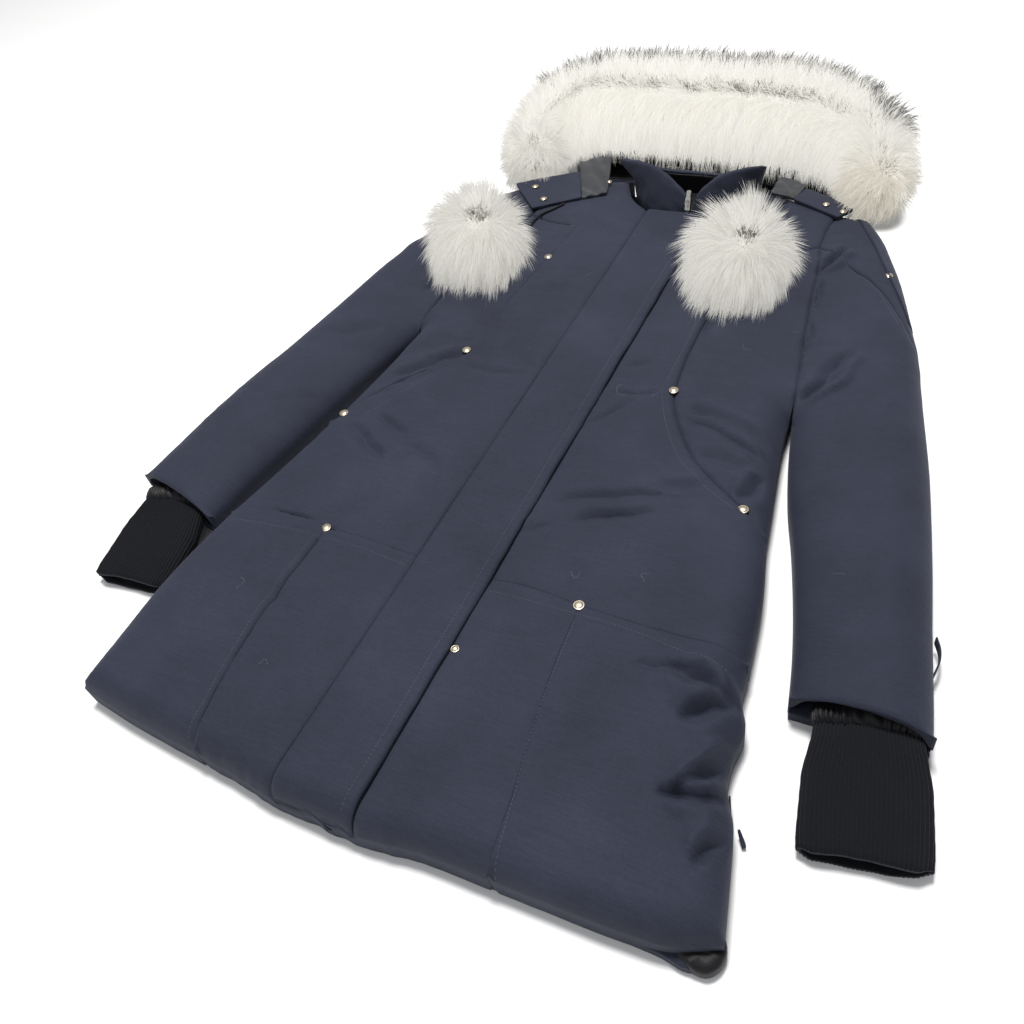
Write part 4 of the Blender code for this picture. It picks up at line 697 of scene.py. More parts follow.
def twill(name, dark, light, rough=0.80, sheen=0.07, lint=0.5, weave=0.35):
    """Matt woven cloth: a fine diagonal rib, a slub, blotches of shade and a little lint."""
    mat, tree, bsdf = shader(name, dark, rough, sheen, (0.75, 0.8, 1.0), specular=0.28)
    place = add(tree, "TexCoord")["Object"]
    blotch = add(tree, "TexNoise", {"Vector": place, "Scale": 9.0, "Detail": 5.0, "Roughness": 0.6})
    grain = add(tree, "TexNoise", {"Vector": place, "Scale": 420.0, "Detail": 2.0, "Roughness": 0.6})
    drawn = add(tree, "Mapping", {"Vector": place, "Scale": (60, 900, 60), "Rotation": (0, 0, 0.7)})
    slub = add(tree, "TexNoise", {"Vector": drawn["Vector"], "Scale": 1.0, "Detail": 2.0})
    patch = add(tree, "MapRange", {"Value": blotch["Fac"], "From Min": 0.30, "From Max": 0.72})
    shade = add(tree, "Mix", {"Factor": patch["Result"], 6: (*dark, 1), 7: (*light, 1)}, data_type="RGBA")
    both = add(tree, "Math", {0: grain["Fac"], 1: slub["Fac"]}, operation="ADD")
    half = add(tree, "Math", {0: both[0], 1: 0.5}, operation="MULTIPLY")
    fleck = add(tree, "MapRange", {"Value": half[0], "From Min": 0.35, "From Max": 0.75,
                                   "To Min": 1.0 - 0.28 * lint, "To Max": 1.0 + 0.45 * lint})
    tone = add(tree, "Mix", {"Factor": 1.0, 6: shade[2], 7: fleck["Result"]}, data_type="RGBA",
               blend_type="MULTIPLY")
    rib = add(tree, "TexWave", {"Vector": place, "Scale": 260.0, "Distortion": 1.5, "Detail": 1.0,
                                "Detail Scale": 2.0}, bands_direction="DIAGONAL")
    weft = add(tree, "Bump", {"Strength": weave, "Distance": 0.0003, "Height": rib["Fac"]})
    knots = add(tree, "Bump", {"Strength": 0.35, "Distance": 0.0006, "Height": half[0],
                               "Normal": weft["Normal"]})
    tree.links.new(tone[2], bsdf.inputs["Base Color"])
    tree.links.new(knots["Normal"], bsdf.inputs["Normal"])
    return mat


def knit(name, colour):
    """Dull wool with a fine fuzz."""
    mat, tree, bsdf = shader(name, colour, 0.9, 0.10, (0.7, 0.75, 0.9), specular=0.15)
    place = add(tree, "TexCoord")["Object"]
    grain = add(tree, "TexNoise", {"Vector": place, "Scale": 700.0, "Detail": 3.0})
    tone = add(tree, "MapRange", {"Value": grain["Fac"], "To Min": 0.5, "To Max": 1.7})
    mixed = add(tree, "Mix", {"Factor": 1.0, 6: (*colour, 1), 7: tone["Result"]}, data_type="RGBA",
                blend_type="MULTIPLY")
    bump = add(tree, "Bump", {"Strength": 0.6, "Distance": 0.0006, "Height": grain["Fac"]})
    tree.links.new(mixed[2], bsdf.inputs["Base Color"])
    tree.links.new(bump["Normal"], bsdf.inputs["Normal"])
    return mat


def metal(name, colour, rough):
    """Metal that is worn unevenly."""
    mat, tree, bsdf = shader(name, colour, rough, metallic=1.0)
    place = add(tree, "TexCoord")["Object"]
    wear = add(tree, "TexNoise", {"Vector": place, "Scale": 600.0, "Detail": 3.0})
    dull = add(tree, "MapRange", {"Value": wear["Fac"], "To Min": rough - 0.08, "To Max": rough + 0.15})
    tree.links.new(dull["Result"], bsdf.inputs["Roughness"])
    return mat


def fur(name):
    """Hair: its colour is kept with each strand, from root to tip, and it glows a little in that colour: a
    painted glow that stands in for the light that white hair lets through.
    """
    mat, tree, bsdf = shader(name, (0.85, 0.84, 0.80), 0.6, specular=0.2)
    tint = add(tree, "Attribute", attribute_name="tint")
    for socket in ("Base Color", "Emission Color"):
        tree.links.new(tint["Color"], bsdf.inputs[socket])
    # Painted glow: the hair, the fur cores and the lint give off a little light in their own colour
    bsdf.inputs["Emission Strength"].default_value = 0.14
    return mat


SHELL = twill("shell", (0.0155, 0.0181, 0.0335), (0.0260, 0.0298, 0.0515))
LINING = twill("lining", (0.0035, 0.0035, 0.0045), (0.0075, 0.0075, 0.0090), 0.55, 0.04, 0.4, 0.2)
NYLON = twill("facing", (0.026, 0.028, 0.032), (0.050, 0.053, 0.060), 0.42, 0.06, 0.3, 0.25)
THREAD = twill("thread", (0.062, 0.069, 0.098), (0.090, 0.098, 0.130), 0.7, 0.2, 0.2, 0.1)
TAPE = twill("zip_tape", (0.018, 0.019, 0.026), (0.030, 0.032, 0.040), 0.7, 0.08, 0.3, 0.3)
KNIT = knit("knit", (0.0062, 0.0066, 0.0084))
GILT = metal("gilt", (0.80, 0.70, 0.52), 0.28)
STEEL = metal("zip_metal", (0.78, 0.76, 0.72), 0.30)
FUR = fur("fur")


def keep_tint(mesh, tint):
    """Keeps each vertex's colour with the mesh, for the fur's material."""
    layer = mesh.color_attributes.new("tint", "FLOAT_COLOR", "POINT")
    layer.data.foreach_set("color", np.column_stack([tint, np.ones(len(tint))]).ravel())


def done(obj, slot, *nodes):
    """A piece that rides on the coat, in place of these CAD nodes. The slot is not used."""
    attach(obj, BODY)
    if nodes:
        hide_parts(*nodes)
    return obj


# ---- body and sleeves

SHOWN = []
ROWS = sewing_rows()
for node in BODY_PANELS:
    obj = close_panel(node + "_cloth", LOOPS[node], lambda p, e, n=node: body_height(p, e, n),
                      BASE, SHELL, rows=ROWS, skirt=BODY_OUT[node.split("_")[-1]], spread=0.00019)
    done(obj, "shell", node)
    SHOWN.append(obj)

for side in SIDES:
    for kind in ("sleeve_top", "sleeve_cap"):
        node = f"{kind}_{side}"
        under = cad_tree(node)
        obj = close_panel(node + "_cloth", LOOPS[node],
                          lambda p, e, s=side: sleeve_height(p, e, s), BASE, SHELL,
                          bottom=lambda p, e, t=under: height_below(t, p), rows=ROWS,
                          skirt=SLEEVE_OUT[side])
        done(obj, "shell", node)
        SHOWN.append(obj)


BAND_LINE = catmull(((0.2030, 0.8365), (0.2200, 0.8000), (0.2380, 0.7660), (0.2580, 0.7230),
                     (0.2810, 0.6790), (0.2975, 0.6460)), 0.003)
BAND_REACH = 0.0007


def arm_band():
    """The band over the back of the left arm: it lies on the cap, and its edge stands up a little."""
    loop = LOOPS["sleeve_cap_left"]
    outer = loop[(loop[:, 1] > BAND_LINE[-1, 1] - 0.004) & (loop[:, 1] < BAND_LINE[0, 1] - 0.003)]
    outer = outer[outer[:, 0] > np.interp(outer[:, 1], BAND_LINE[::-1, 1], BAND_LINE[::-1, 0]) + 0.001]
    outer = beside(outer[np.argsort(outer[:, 1])], BAND_REACH)
    ring = np.vstack([BAND_LINE, outer])

    def over(p, lift):
        edge = plan_distance(p, *loop_segments(loop))
        return sleeve_height(p, edge, "left") + lift

    def top(p, edge):
        inner = line_distance(p, BAND_LINE)
        return over(p, 0.0021) + 0.0008 * np.exp(-inner / 0.004) - 0.0012 * np.exp(-(edge / 0.001) ** 1.5)
    obj = close_panel("arm_band_left_cloth", ring, top, 0.0, SHELL, 0.0035,
                      bottom=lambda p, edge: over(p, 0.0003))
    return done(obj, "shell", "arm_band_left")


SHOWN.append(arm_band())


def flat_panel(node, step):
    """A panel that lies below, drawn in behind the skirt of those on it."""
    loop = LOOPS[node] + inward(LOOPS[node]) * TUCKED

    def height(p, edge):
        return BACK_THICK - 0.0022 * np.exp(-edge / 0.003)
    obj = done(close_panel(node + "_cloth", loop, height, 0.0, SHELL, step, 0.0002), "shell", node)


for node, step in (("back_panel", 0.012), ("sleeve_under_right", 0.010), ("sleeve_under_left", 0.010)):
    flat_panel(node, step)


def turned_corner():
    """Black lining that shows where the back's hem turns up at the wearer's left corner."""
    corner = ((0.2640, -0.0040), (0.2760, -0.0095), (0.2880, -0.0140), (0.2980, -0.0130),
              (0.3035, -0.0070), (0.3055, 0.0010), (0.3010, 0.0120), (0.2900, 0.0080), (0.2760, 0.0020))
    loop = catmull((*corner, corner[0]), 0.0025)[:-1]

    def height(p, edge):
        fold = noise(p[:, 0] + p[:, 1], p[:, 1] - p[:, 0], 0.011, 91, 2)
        return BACK_THICK + 0.0028 + 0.0016 * fold - 0.0030 * np.exp(-edge / 0.002)
    done(close_panel("hem_corner_lining", loop, height, 0.0004, LINING, 0.0025, 0.0008), "lining")


turned_corner()


# ---- placket

def placket_top(p, edge):
    """Top of the placket: a slight crown, sunk seams and a wavy loose edge."""
    x, y = p[:, 0], p[:, 1]
    across = np.clip((x - PLACKET["x0"]) / (PLACKET["x1"] - PLACKET["x0"]), 0, 1)
    z = middle_height(y) + PLACKET["top"] + 0.0007 * (1 - np.abs(across * 2 - 1) ** 4)
    z += 0.0007 * noise(x, y, 0.07, 31, 2) + pucker(p, edge) * 0.7 + stitched(p) + creased(p) * 0.8
    z += 0.0012 * across ** 4 * noise(y, y * 0.3, 0.06, 35, 2)
    z -= 0.0018 * np.exp(-(edge / 0.0013) ** 1.5) + 0.0012 * np.exp(-(x - PLACKET["x0"]) / 0.0022)
    return z


def wavy_edge(loop):
    """The placket's loose edge isn't quite straight."""
    free = ramp(loop[:, 0], 0.028, PLACKET["x1"])
    ends = ramp(loop[:, 1], -0.027, 0.01) * ramp(-loop[:, 1], -0.80, -0.76)
    out = loop.copy()
    out[:, 0] += free * ends * (0.0010 * noise(loop[:, 1], loop[:, 1] * 0.4, 0.05, 37, 2) + 0.0002)
    return out


def placket_bottom(p, edge):
    """Underside of the placket, just above the fronts."""
    return middle_height(p[:, 1]) - PLACKET["recess"] + 0.0003


placket = close_panel("storm_placket_cloth", wavy_edge(LOOPS["storm_placket"]), placket_top, 0.0,
                      SHELL, bottom=placket_bottom, bulge=0.0003, rows=ROWS)
done(placket, "shell", "storm_placket")
SHOWN.append(placket)


# ---- topstitching

TREES = []
for obj in SHOWN:
    obj.data.calc_loop_triangles()
    TREES.append(BVHTree.FromPolygons([v.co[:] for v in obj.data.vertices],
                                      [t.vertices[:] for t in obj.data.loop_triangles]))


def laid_on(place):
    """The highest cloth under a point in plan, and its normal."""
    hits = [t.ray_cast(Vector((*place, 1.0)), Vector((0, 0, -1)))[:2] for t in TREES]
    hits = [h for h in hits if h[0] is not None]
    return max(hits, key=lambda h: h[0].z) if hits else (None, None)


def stitch_mesh():
    """Short raised threads along each row, laid on the cloth."""
    thick, half, sides, least_up = 0.00020, 0.00125, 5, 0.35
    verts, faces = [], []
    for row in STITCH_ROWS.values():
        for a, b in zip(row[:-1], row[1:]):
            place, normal = laid_on((a + b) / 2)
            if place is None or normal.z < least_up:
                continue
            along = Vector((*(b - a), 0)).normalized()
            along = (along - normal * along.dot(normal)).normalized()
            across = normal.cross(along)
            base = len(verts)
            for t, size in ((-1.0, 0.15), (-0.6, 0.9), (0.6, 0.9), (1.0, 0.15)):
                for k in range(sides):
                    turn = 2 * math.pi * k / sides
                    verts.append(place + normal * (thick * 0.35 * (1.4 - t * t)) + along * (t * half)
                                 + (across * math.cos(turn) * 1.2 + normal * math.sin(turn))
                                 * thick * size)
            faces += tube_faces(4, sides, base)
            faces += [round_faces(sides, base)[::-1], round_faces(sides, base + 3 * sides)]
    done(mesh_object("topstitching", verts, faces, THREAD), "shell")


stitch_mesh()

# Loose hairs on the cloth: where each starts, its length, its way and how it bends twice
LINT = table("x y size turn bend wave",
             (0.052, 0.474, 0.026, -0.9, 1.5, 0.2), (0.086, 0.463, 0.014, 1.2, 0.5, 0.6),
             (0.160, 0.245, 0.016, 1.4, 0.3, 1.4), (0.098, 0.236, 0.018, 0.4, 0.9, -0.9),
             (-0.060, 0.640, 0.016, 0.9, 0.4, 0.8), (-0.180, 0.120, 0.018, 2.0, 0.7, -0.6),
             (-0.110, 0.060, 0.014, 0.3, -0.5, 0.9), (0.190, 0.600, 0.012, 0.2, 0.3, -0.8),
             (0.160, 0.560, 0.016, 2.6, -0.8, 0.5), (0.300, 0.300, 0.009, 0.1, 0.2, 0.3),
             (-0.150, 0.560, 0.012, 1.7, 0.6, 0.7))


LINT_LEGS = 12
LINT_HALF_WIDTH = 0.00007
LINT_SHADE = (0.17, 0.18, 0.21)


def lint():
    """Fine pale hairs that have come off the fur."""
    verts, faces = [], []
    for x, y, size, turn, bend, wave in zip(*LINT.values()):
        place = np.array([x, y])
        line = []
        for k in range(LINT_LEGS + 1):
            way = turn + bend * (k / 6 - 1) + wave * math.sin(k * math.pi / 6)
            line.append(place.copy())
            place = place + np.array([math.cos(way), math.sin(way)]) * size / LINT_LEGS
        for k, here in enumerate(line):
            ahead = line[min(k + 1, LINT_LEGS)] - line[max(k - 1, 0)]
            across = np.array([-ahead[1], ahead[0]]) / np.linalg.norm(ahead) * LINT_HALF_WIDTH
            ground = laid_on(here)[0]
            z = (ground.z if ground is not None else BODY_TOP) + 0.0004
            verts += [(*(here - across), z), (*(here + across), z)]
            if k:
                n = len(verts)
                faces.append((n - 4, n - 2, n - 1, n - 3))
    obj = mesh_object("lint", verts, faces, FUR)
    keep_tint(obj.data, np.tile(LINT_SHADE, (len(verts), 1)))
    done(obj, "fur")


lint()


# ---- plain cloth pieces, subdivided

def softened(node, slot, mat, levels, crease, wave, shape=None):
    """A CAD solid's own form, rounded off and given the cloth's small waves."""
    co, tri = welded(node)
    work = bmesh.new()
    verts = [work.verts.new(v) for v in co]
    for t in tri:
        try:
            work.faces.new([verts[k] for k in t])
        except ValueError:
            pass
    bmesh.ops.recalc_face_normals(work, faces=work.faces)
    bmesh.ops.join_triangles(work, faces=work.faces, angle_face_threshold=0.7,
                             angle_shape_threshold=1.4)
    layer = work.edges.layers.float.new("crease_edge")
    for e in work.edges:
        if len(e.link_faces) == 2 and e.calc_face_angle(0) > 0.9:
            e[layer] = crease
    mesh = bpy.data.meshes.new(node)
    work.to_mesh(mesh)
    work.free()
    obj = placed(node + "_work", mesh)
    mod = obj.modifiers.new("rounded", "SUBSURF")
    mod.levels = mod.render_levels = levels
    dg = bpy.context.evaluated_depsgraph_get()
    done_mesh = bpy.data.meshes.new_from_object(obj.evaluated_get(dg))
    bpy.data.objects.remove(obj)
    pts = np.array([v.co[:] for v in done_mesh.vertices])
    nor = np.array([v.normal[:] for v in done_mesh.vertices])
    lift = wave * (noise(pts[:, 0] + pts[:, 2], pts[:, 1] + pts[:, 2] * 0.7, 0.020, 3, 2))
    pts = pts + nor * lift[:, None]
    if shape is not None:
        pts = shape(pts)
    done_mesh.vertices.foreach_set("co", pts.ravel())
    done_mesh.update()
    return done(finished(node + "_cloth", done_mesh, mat), slot, node)


def collar_falls(pts):
    """The collar's outer ends fall open and roll over; the wearer's right one opens further."""
    x, y, z = pts.T
    outer, high = ramp(np.abs(x), 0.046, 0.088), ramp(z, 0.046, 0.080)
    open_by = np.where(x < 0, 0.017, 0.004)
    fold = noise(x * 2, y + z, 0.030, 95, 2)
    return np.column_stack([x + np.sign(x) * open_by * outer * high, y + 0.004 * outer * high,
                            z - np.where(x < 0, 0.010, 0.004) * outer * high + 0.0012 * fold * high])


def facing_folds(pts):
    """The nylon at the root of the tab reaches up under the fur, and is crumpled."""
    x, y, z = pts.T
    low, high = y.min(), y.max()
    up = ramp(y, low + 0.25 * (high - low), high)
    fold = np.sin((x * 0.8 + y) * 260 + 2 * noise(x, y, 0.02, 96, 2))
    return np.column_stack([x - np.where(x < 0, 0.010, 0.0) * up, y + np.where(x < 0, 0.020, 0.008) * up,
                            z + 0.0011 * fold + np.where(x < 0, 0.006, 0.001) * up])


for side in SIDES:
    SHOWN.append(softened(f"collar_{side}", "shell", SHELL, 3, 0.8, 0.0009, collar_falls))
    softened(f"collar_lining_{side}", "lining", LINING, 3, 0.8, 0.0005, collar_falls)
    SHOWN.append(softened(f"hood_tab_{side}", "shell", SHELL, 3, 0.85, 0.0005))
    SHOWN.append(softened(f"hood_tab_facing_{side}", "facing", NYLON, 3, 0.85, 0.0005, facing_folds))
softened("neck_lining", "lining", LINING, 2, 1.0, 0.0003)
softened("hood_lining", "lining", LINING, 2, 1.0, 0.0003)
softened("hood_under", "shell", SHELL, 2, 0.8, 0.0006)
softened("hood_top", "lining", LINING, 3, 0.6, 0.0012)


def drawn_in(share_x, share_y=1.0):
    """A shape narrowed towards its inner, upper end."""
    def shape(pts):
        anchor = np.array([pts[:, 0].min(), pts[:, 1].max(), pts[:, 2].min()])
        return anchor + (pts - anchor) * np.array([share_x, share_y, 1.0])
    return shape


softened("sleeve_loop_left", "shell", SHELL, 2, 0.8, 0.0002, drawn_in(0.60))
softened("vent_zip_left", "lining", TAPE, 2, 0.9, 0.0002, drawn_in(0.75))
softened("vent_pull_left", "shell", SHELL, 2, 0.6, 0.0002, drawn_in(0.60, 0.50))


# ---- knit cuffs

RIB_CUFFS = {
    "right": dict(start=(-0.3300, 0.2086), end=(-0.3185, 0.1060)),
    "left": dict(start=(0.3517, 0.1950), end=(0.3715, 0.0930)),
}
RIB_RINGS = table("along low half_width half_height",
                  (-0.022, 0.0126, 0.0340, 0.0075), (0.020, 0.0126, 0.0372, 0.0088),
                  (0.046, 0.0030, 0.0425, 0.0115), (0.070, 0.0, 0.0430, 0.0115),
                  (0.092, 0.0, 0.0435, 0.0100), (0.104, 0.0, 0.0430, 0.0086))
RIB_COUNT = 64
RIB_SAMPLES = 5
RIB_HEIGHT = 0.0013
KNIT_WALL = 0.0028
STITCH_PITCH = 0.0030
CUFF_FROM = -0.022
CUFF_TO = 0.104
CUFF_RINGS = 32
GATHERS = table("along half_width half_height",
                (-0.012, 0.0360, 0.0085), (-0.004, 0.0380, 0.0108), (0.003, 0.0392, 0.0118),
                (0.009, 0.0386, 0.0112), (0.013, 0.0362, 0.0094))
GATHER_COUNT = 38
GATHER_SAMPLES = 260
GATHER_FOOT = 0.0126
GATHER_WALL = 0.0012


def cuff_axes(side):
    """Where a cuff starts, its way along and its way across, in plan."""
    start, end = (np.array(RIB_CUFFS[side][k]) for k in ("start", "end"))
    axis = (end - start) / np.linalg.norm(end - start)
    return start, axis, np.array([-axis[1], axis[0]])


def rib_cuff(side):
    """Knit tube with raised ribs, folded over at its end."""
    start, axis, across = cuff_axes(side)
    count = RIB_COUNT * RIB_SAMPLES
    turn = np.linspace(0, 2 * math.pi, 1441)[:-1]
    square_x, square_z = squared_round(turn, 0.62)
    wave = np.cos(np.arange(count) / RIB_SAMPLES * 2 * math.pi)
    rib = RIB_HEIGHT * (0.5 + 0.5 * np.sign(wave) * np.abs(wave) ** 0.7)
    outside, inside_wall = [], []
    for s in np.linspace(CUFF_FROM, CUFF_TO, CUFF_RINGS):
        low, wide, tall = (np.interp(s, RIB_RINGS["along"], RIB_RINGS[k])
                           for k in ("low", "half_width", "half_height"))
        loop = np.stack([wide * square_x, tall * square_z], axis=1)
        loop = np.vstack([loop, loop[:1]])
        along = np.concatenate([[0], np.cumsum(np.linalg.norm(np.diff(loop, axis=0), axis=1))])
        steps = np.arange(count) / count * along[-1]
        ring = np.stack([np.interp(steps, along, loop[:, k]) for k in range(2)], axis=1)
        normal = -inward(ring)
        stitch = 0.00012 * np.cos(s / STITCH_PITCH * 2 * math.pi)
        near_end = ramp(np.full(count, s), 0.080, CUFF_TO)
        slack = (0.0008 + 0.0012 * near_end) * noise(np.full(count, s), steps, 0.03, 41)
        back = -axis[:, None] * near_end * (0.0035 * ramp(np.abs(ring[:, 0]) / wide, 0.75, 1.0)
                                            + 0.0016 * noise(steps, steps * 0, 0.035, 43))
        middle = low + tall + 0.0011

        def on_coat(points):
            plan = start + axis * s + across * points[:, :1] + back.T
            return np.column_stack([plan, middle + points[:, 1] + slack])
        place = on_coat(ring + normal * (rib + stitch)[:, None])
        place[:, 2] = np.maximum(place[:, 2], 0.0002)
        outside.append(place)
        inside_wall.append(on_coat(ring - normal * KNIT_WALL))
    rings = outside + inside_wall[::-1]
    faces = tube_faces(len(rings), count, closed=True)
    done(mesh_object(f"rib_cuff_{side}_knit", np.vstack(rings), faces, KNIT), "knit", f"rib_cuff_{side}")


def gathered_lining(side):
    """Black lining gathered into the sleeve's mouth round the root of the cuff."""
    start, axis, across = cuff_axes(side)
    turn = np.linspace(0, 2 * math.pi, GATHER_SAMPLES, endpoint=False)
    x, z = squared_round(turn, 0.7)
    outer, inner = [], []
    for s, wide, tall in zip(*GATHERS.values()):
        ruffle = 0.0014 * np.sin(turn * GATHER_COUNT + 3 * noise(turn, turn * 0 + s * 30, 0.5, 97))
        ruffle += 0.0012 * noise(turn, turn * 0 + s * 20, 0.35, 98, 2)
        along = s + 0.0025 * noise(turn, turn * 0, 0.45, 99, 2)
        for ring, shrink in ((outer, 0.0), (inner, GATHER_WALL)):
            w, t = wide + ruffle - shrink, tall + ruffle - shrink
            flat = start[None] + axis[None] * along[:, None] + across[None] * (x * w)[:, None]
            ring.append(np.column_stack([flat, np.maximum(GATHER_FOOT + tall + z * t, 0.0125)]))
    rings = outer + inner[::-1]
    faces = tube_faces(len(rings), GATHER_SAMPLES, closed=True)
    done(mesh_object(f"sleeve_lining_{side}", np.vstack(rings), faces, LINING), "lining")


for side in SIDES:
    rib_cuff(side)
    gathered_lining(side)


# ---- fur

# The ribbons' faces look a little outwards and mostly to this side, and the light comes from above
LIT_SIDE = np.array([0.38, -0.54, 0.75])
LIGHT_SIDE = np.array([-0.06, 0.13, 0.99])


def strands(name, root, control, tip, normal, width, low, high, seed, parts=3, power=1.2):
    """Hair as narrow tapered ribbons, bent over a control point and lying on the fur's surface."""
    count = len(root)
    facing = unit(normal * 0.15 + LIT_SIDE)
    ahead = unit(tip - root)
    across = unit(np.cross(ahead, facing))
    # Hair whose face turns from the light from above would go grey, so it is whiter
    face = unit(facing - ahead * np.sum(ahead * facing, axis=1)[:, None])
    gain = (1 + 0.15 * ramp(-(face @ LIGHT_SIDE), -0.16, 0.06))[:, None]
    low, high = np.minimum(low * gain, 0.95), np.minimum(high * gain, 0.95)
    per = 2 * parts + 1
    verts, tint = np.zeros((count, per, 3)), np.ones((count, per, 3))
    for k in range(parts + 1):
        t = k / parts
        centre = root * (1 - t) ** 2 + control * 2 * t * (1 - t) + tip * t * t
        shade = low + (high - low) * (t ** power if power else ramp(t, 0.34, 0.70))
        if k == parts:
            verts[:, 2 * k], tint[:, 2 * k] = centre, shade
            continue
        along = (control - root) * (1 - t) + (tip - control) * t
        half = (width * (1 - (0.75 if power else 0.45) * t * t))[:, None] * unit(np.cross(along, facing))
        verts[:, 2 * k], verts[:, 2 * k + 1] = centre - half, centre + half
        tint[:, 2 * k], tint[:, 2 * k + 1] = shade, shade
    pattern = []
    for k in range(0, 2 * parts - 2, 2):
        pattern += [(k, k + 1, k + 3), (k, k + 3, k + 2)]
    pattern.append((2 * parts - 2, 2 * parts - 1, 2 * parts))
    faces = ((np.arange(count) * per)[:, None, None] + np.array(pattern)[None]).reshape(-1, 3)
    mesh = bpy.data.meshes.new(name)
    mesh.vertices.add(count * per)
    mesh.vertices.foreach_set("co", verts.ravel())
    mesh.loops.add(len(faces) * 3)
    mesh.loops.foreach_set("vertex_index", faces.ravel())
    mesh.polygons.add(len(faces))
    mesh.polygons.foreach_set("loop_start", np.arange(len(faces)) * 3)
    mesh.polygons.foreach_set("use_smooth", np.ones(len(faces), dtype=bool))
    mesh.update(calc_edges=True)
    keep_tint(mesh, tint.reshape(-1, 3))
    tilt = np.random.RandomState(seed).uniform(-0.45, 0.45, count)[:, None]
    lit = unit(normal * 0.55 + np.array([0.0, 0.0, 0.62]) + across * tilt)
    mesh.normals_split_custom_set_from_vertices(np.repeat(lit, per, axis=0))
    mesh.materials.append(FUR)
    return placed(name, mesh)


def whites(random, count, low, high):
    """Slightly different whites, a little cream."""
    white = random.uniform(low, high, count)
    cream = random.uniform(0.0, 1.0, count)
    return np.column_stack([white, white * (0.995 - 0.012 * cream), white * (0.965 - 0.05 * cream)])


def on_floor(root, control, tip, floor):
    """Hair that would go through what it lies on turns along it."""
    for place in (control, tip):
        place[:, 2] = np.maximum(place[:, 2], floor + 0.0008 + 0.12 * np.maximum(place[:, 2] - floor, 0))
    return root, control, tip


FUR_LOW = 0.0235
FUR_HIGH = 0.1590
# Shares of the ruff's size at which its core ends and its hair is rooted
CORE_SHARE = 0.60
ROOT_SHARE = 0.57
# Hair is painted a little darker at its root, as painted shade for the depth that its strands, which cast no
# shadow, would lack; it is also a little warmer there, and the ruff's left end is cream
ROOT_PAINTED_SHADE_AND_WARMTH = np.array([0.93, 0.92, 0.88])
WHITE = (1.0, 1.0, 1.0)
CREAM = (1.0, 0.965, 0.91)
# Locks along and round the ruff and on each ball, and how far a hair's tip moves to its lock's middle
LOCKS_ALONG = 150
LOCKS_ROUND = 8
BALL_LOCKS = 420
RUFF_LOCK_REACH = 0.010
BALL_LOCK_REACH = 0.011
# Degrees that the hair leans over, away from the parting or the whorl
RUFF_LEAN = 58
BALL_LEAN = 42
# Length of the ruff's hair as a share of the ruff's size, and the half widths of hair
RUFF_LENGTH = 0.70
RUFF_HAIR_WIDTH = 0.00040
GUARD_HAIR_WIDTH = 0.00038
BALL_HAIR_WIDTH = 0.00038
# The pompoms
BALL_SQUASH = 0.92
BALL_CORE = 0.038
BALL_REACH = 0.066
BALL_CORE_SHADE = (0.50, 0.49, 0.46)
PART_TURN = math.radians(80)
RUFF = table("x y z size",
             (-0.228, 0.858, 0.053, 0.036), (-0.244, 0.895, 0.057, 0.046),
             (-0.228, 0.948, 0.071, 0.056), (-0.170, 0.972, 0.082, 0.060),
             (-0.090, 0.972, 0.085, 0.062), (0.0, 0.968, 0.086, 0.062),
             (0.080, 0.965, 0.086, 0.062), (0.145, 0.955, 0.081, 0.059),
             (0.196, 0.930, 0.068, 0.052), (0.217, 0.892, 0.058, 0.044),
             (0.214, 0.867, 0.054, 0.036))
RUFF_PATH = catmull(np.stack([RUFF[k] for k in ("x", "y", "z", "size")], axis=1), 0.004)
RUFF_ALONG = np.linspace(0, 1, len(RUFF_PATH))


def ruff_frame(s):
    """Centre, size, direction along and level outward direction of the ruff at shares of it."""
    place = np.stack([np.interp(s, RUFF_ALONG, RUFF_PATH[:, k]) for k in range(4)], axis=1)
    ahead = np.stack([np.interp(s + 0.012, RUFF_ALONG, RUFF_PATH[:, k])
                      - np.interp(s - 0.012, RUFF_ALONG, RUFF_PATH[:, k]) for k in range(2)], axis=1)
    ahead = unit(ahead)
    zero = np.zeros(len(s))
    return (place[:, :3], place[:, 3], np.column_stack([ahead, zero]),
            np.column_stack([ahead[:, 1], -ahead[:, 0], zero]))


def ruff_surface(s, turn, share):
    """Points, normals and the way round the ruff's roll at a share of its size."""
    centre, size, _, out = ruff_frame(s)
    up = np.array([0.0, 0.0, 1.0])
    c, n = np.cos(turn)[:, None], np.sin(turn)[:, None]
    lift = np.where(n > 0, 0.94, 0.66)
    place = centre + (out * c + up * n * lift) * (size * share)[:, None]
    return place, out * c + up * n, -out * n + up * c


def ruff_core():
    """The roll under the ruff's hair, in place of the CAD ruff."""
    rings, count = 110, 28
    turn = np.linspace(0, 2 * math.pi, count, endpoint=False)
    verts = []
    for share in np.linspace(0.0, 1.0, rings):
        end = min(1.0, min(share, 1 - share) / 0.045)
        round_end = max(0.08, math.sqrt(1 - (1 - end) ** 2))
        verts.append(ruff_surface(np.full(count, share), turn, CORE_SHARE * round_end)[0])
    faces = tube_faces(rings, count)
    faces += [round_faces(count)[::-1], round_faces(count, (rings - 1) * count)]
    co = np.vstack(verts)
    co[:, 2] = np.maximum(co[:, 2], FUR_LOW)
    obj = mesh_object("ruff_core", co, faces, FUR)
    shade = 0.54 + 0.03 * noise(co[:, 0], co[:, 1] + co[:, 2], 0.02, 51)
    keep_tint(obj.data, np.column_stack([shade, shade * 0.985, shade * 0.94]))
    return obj


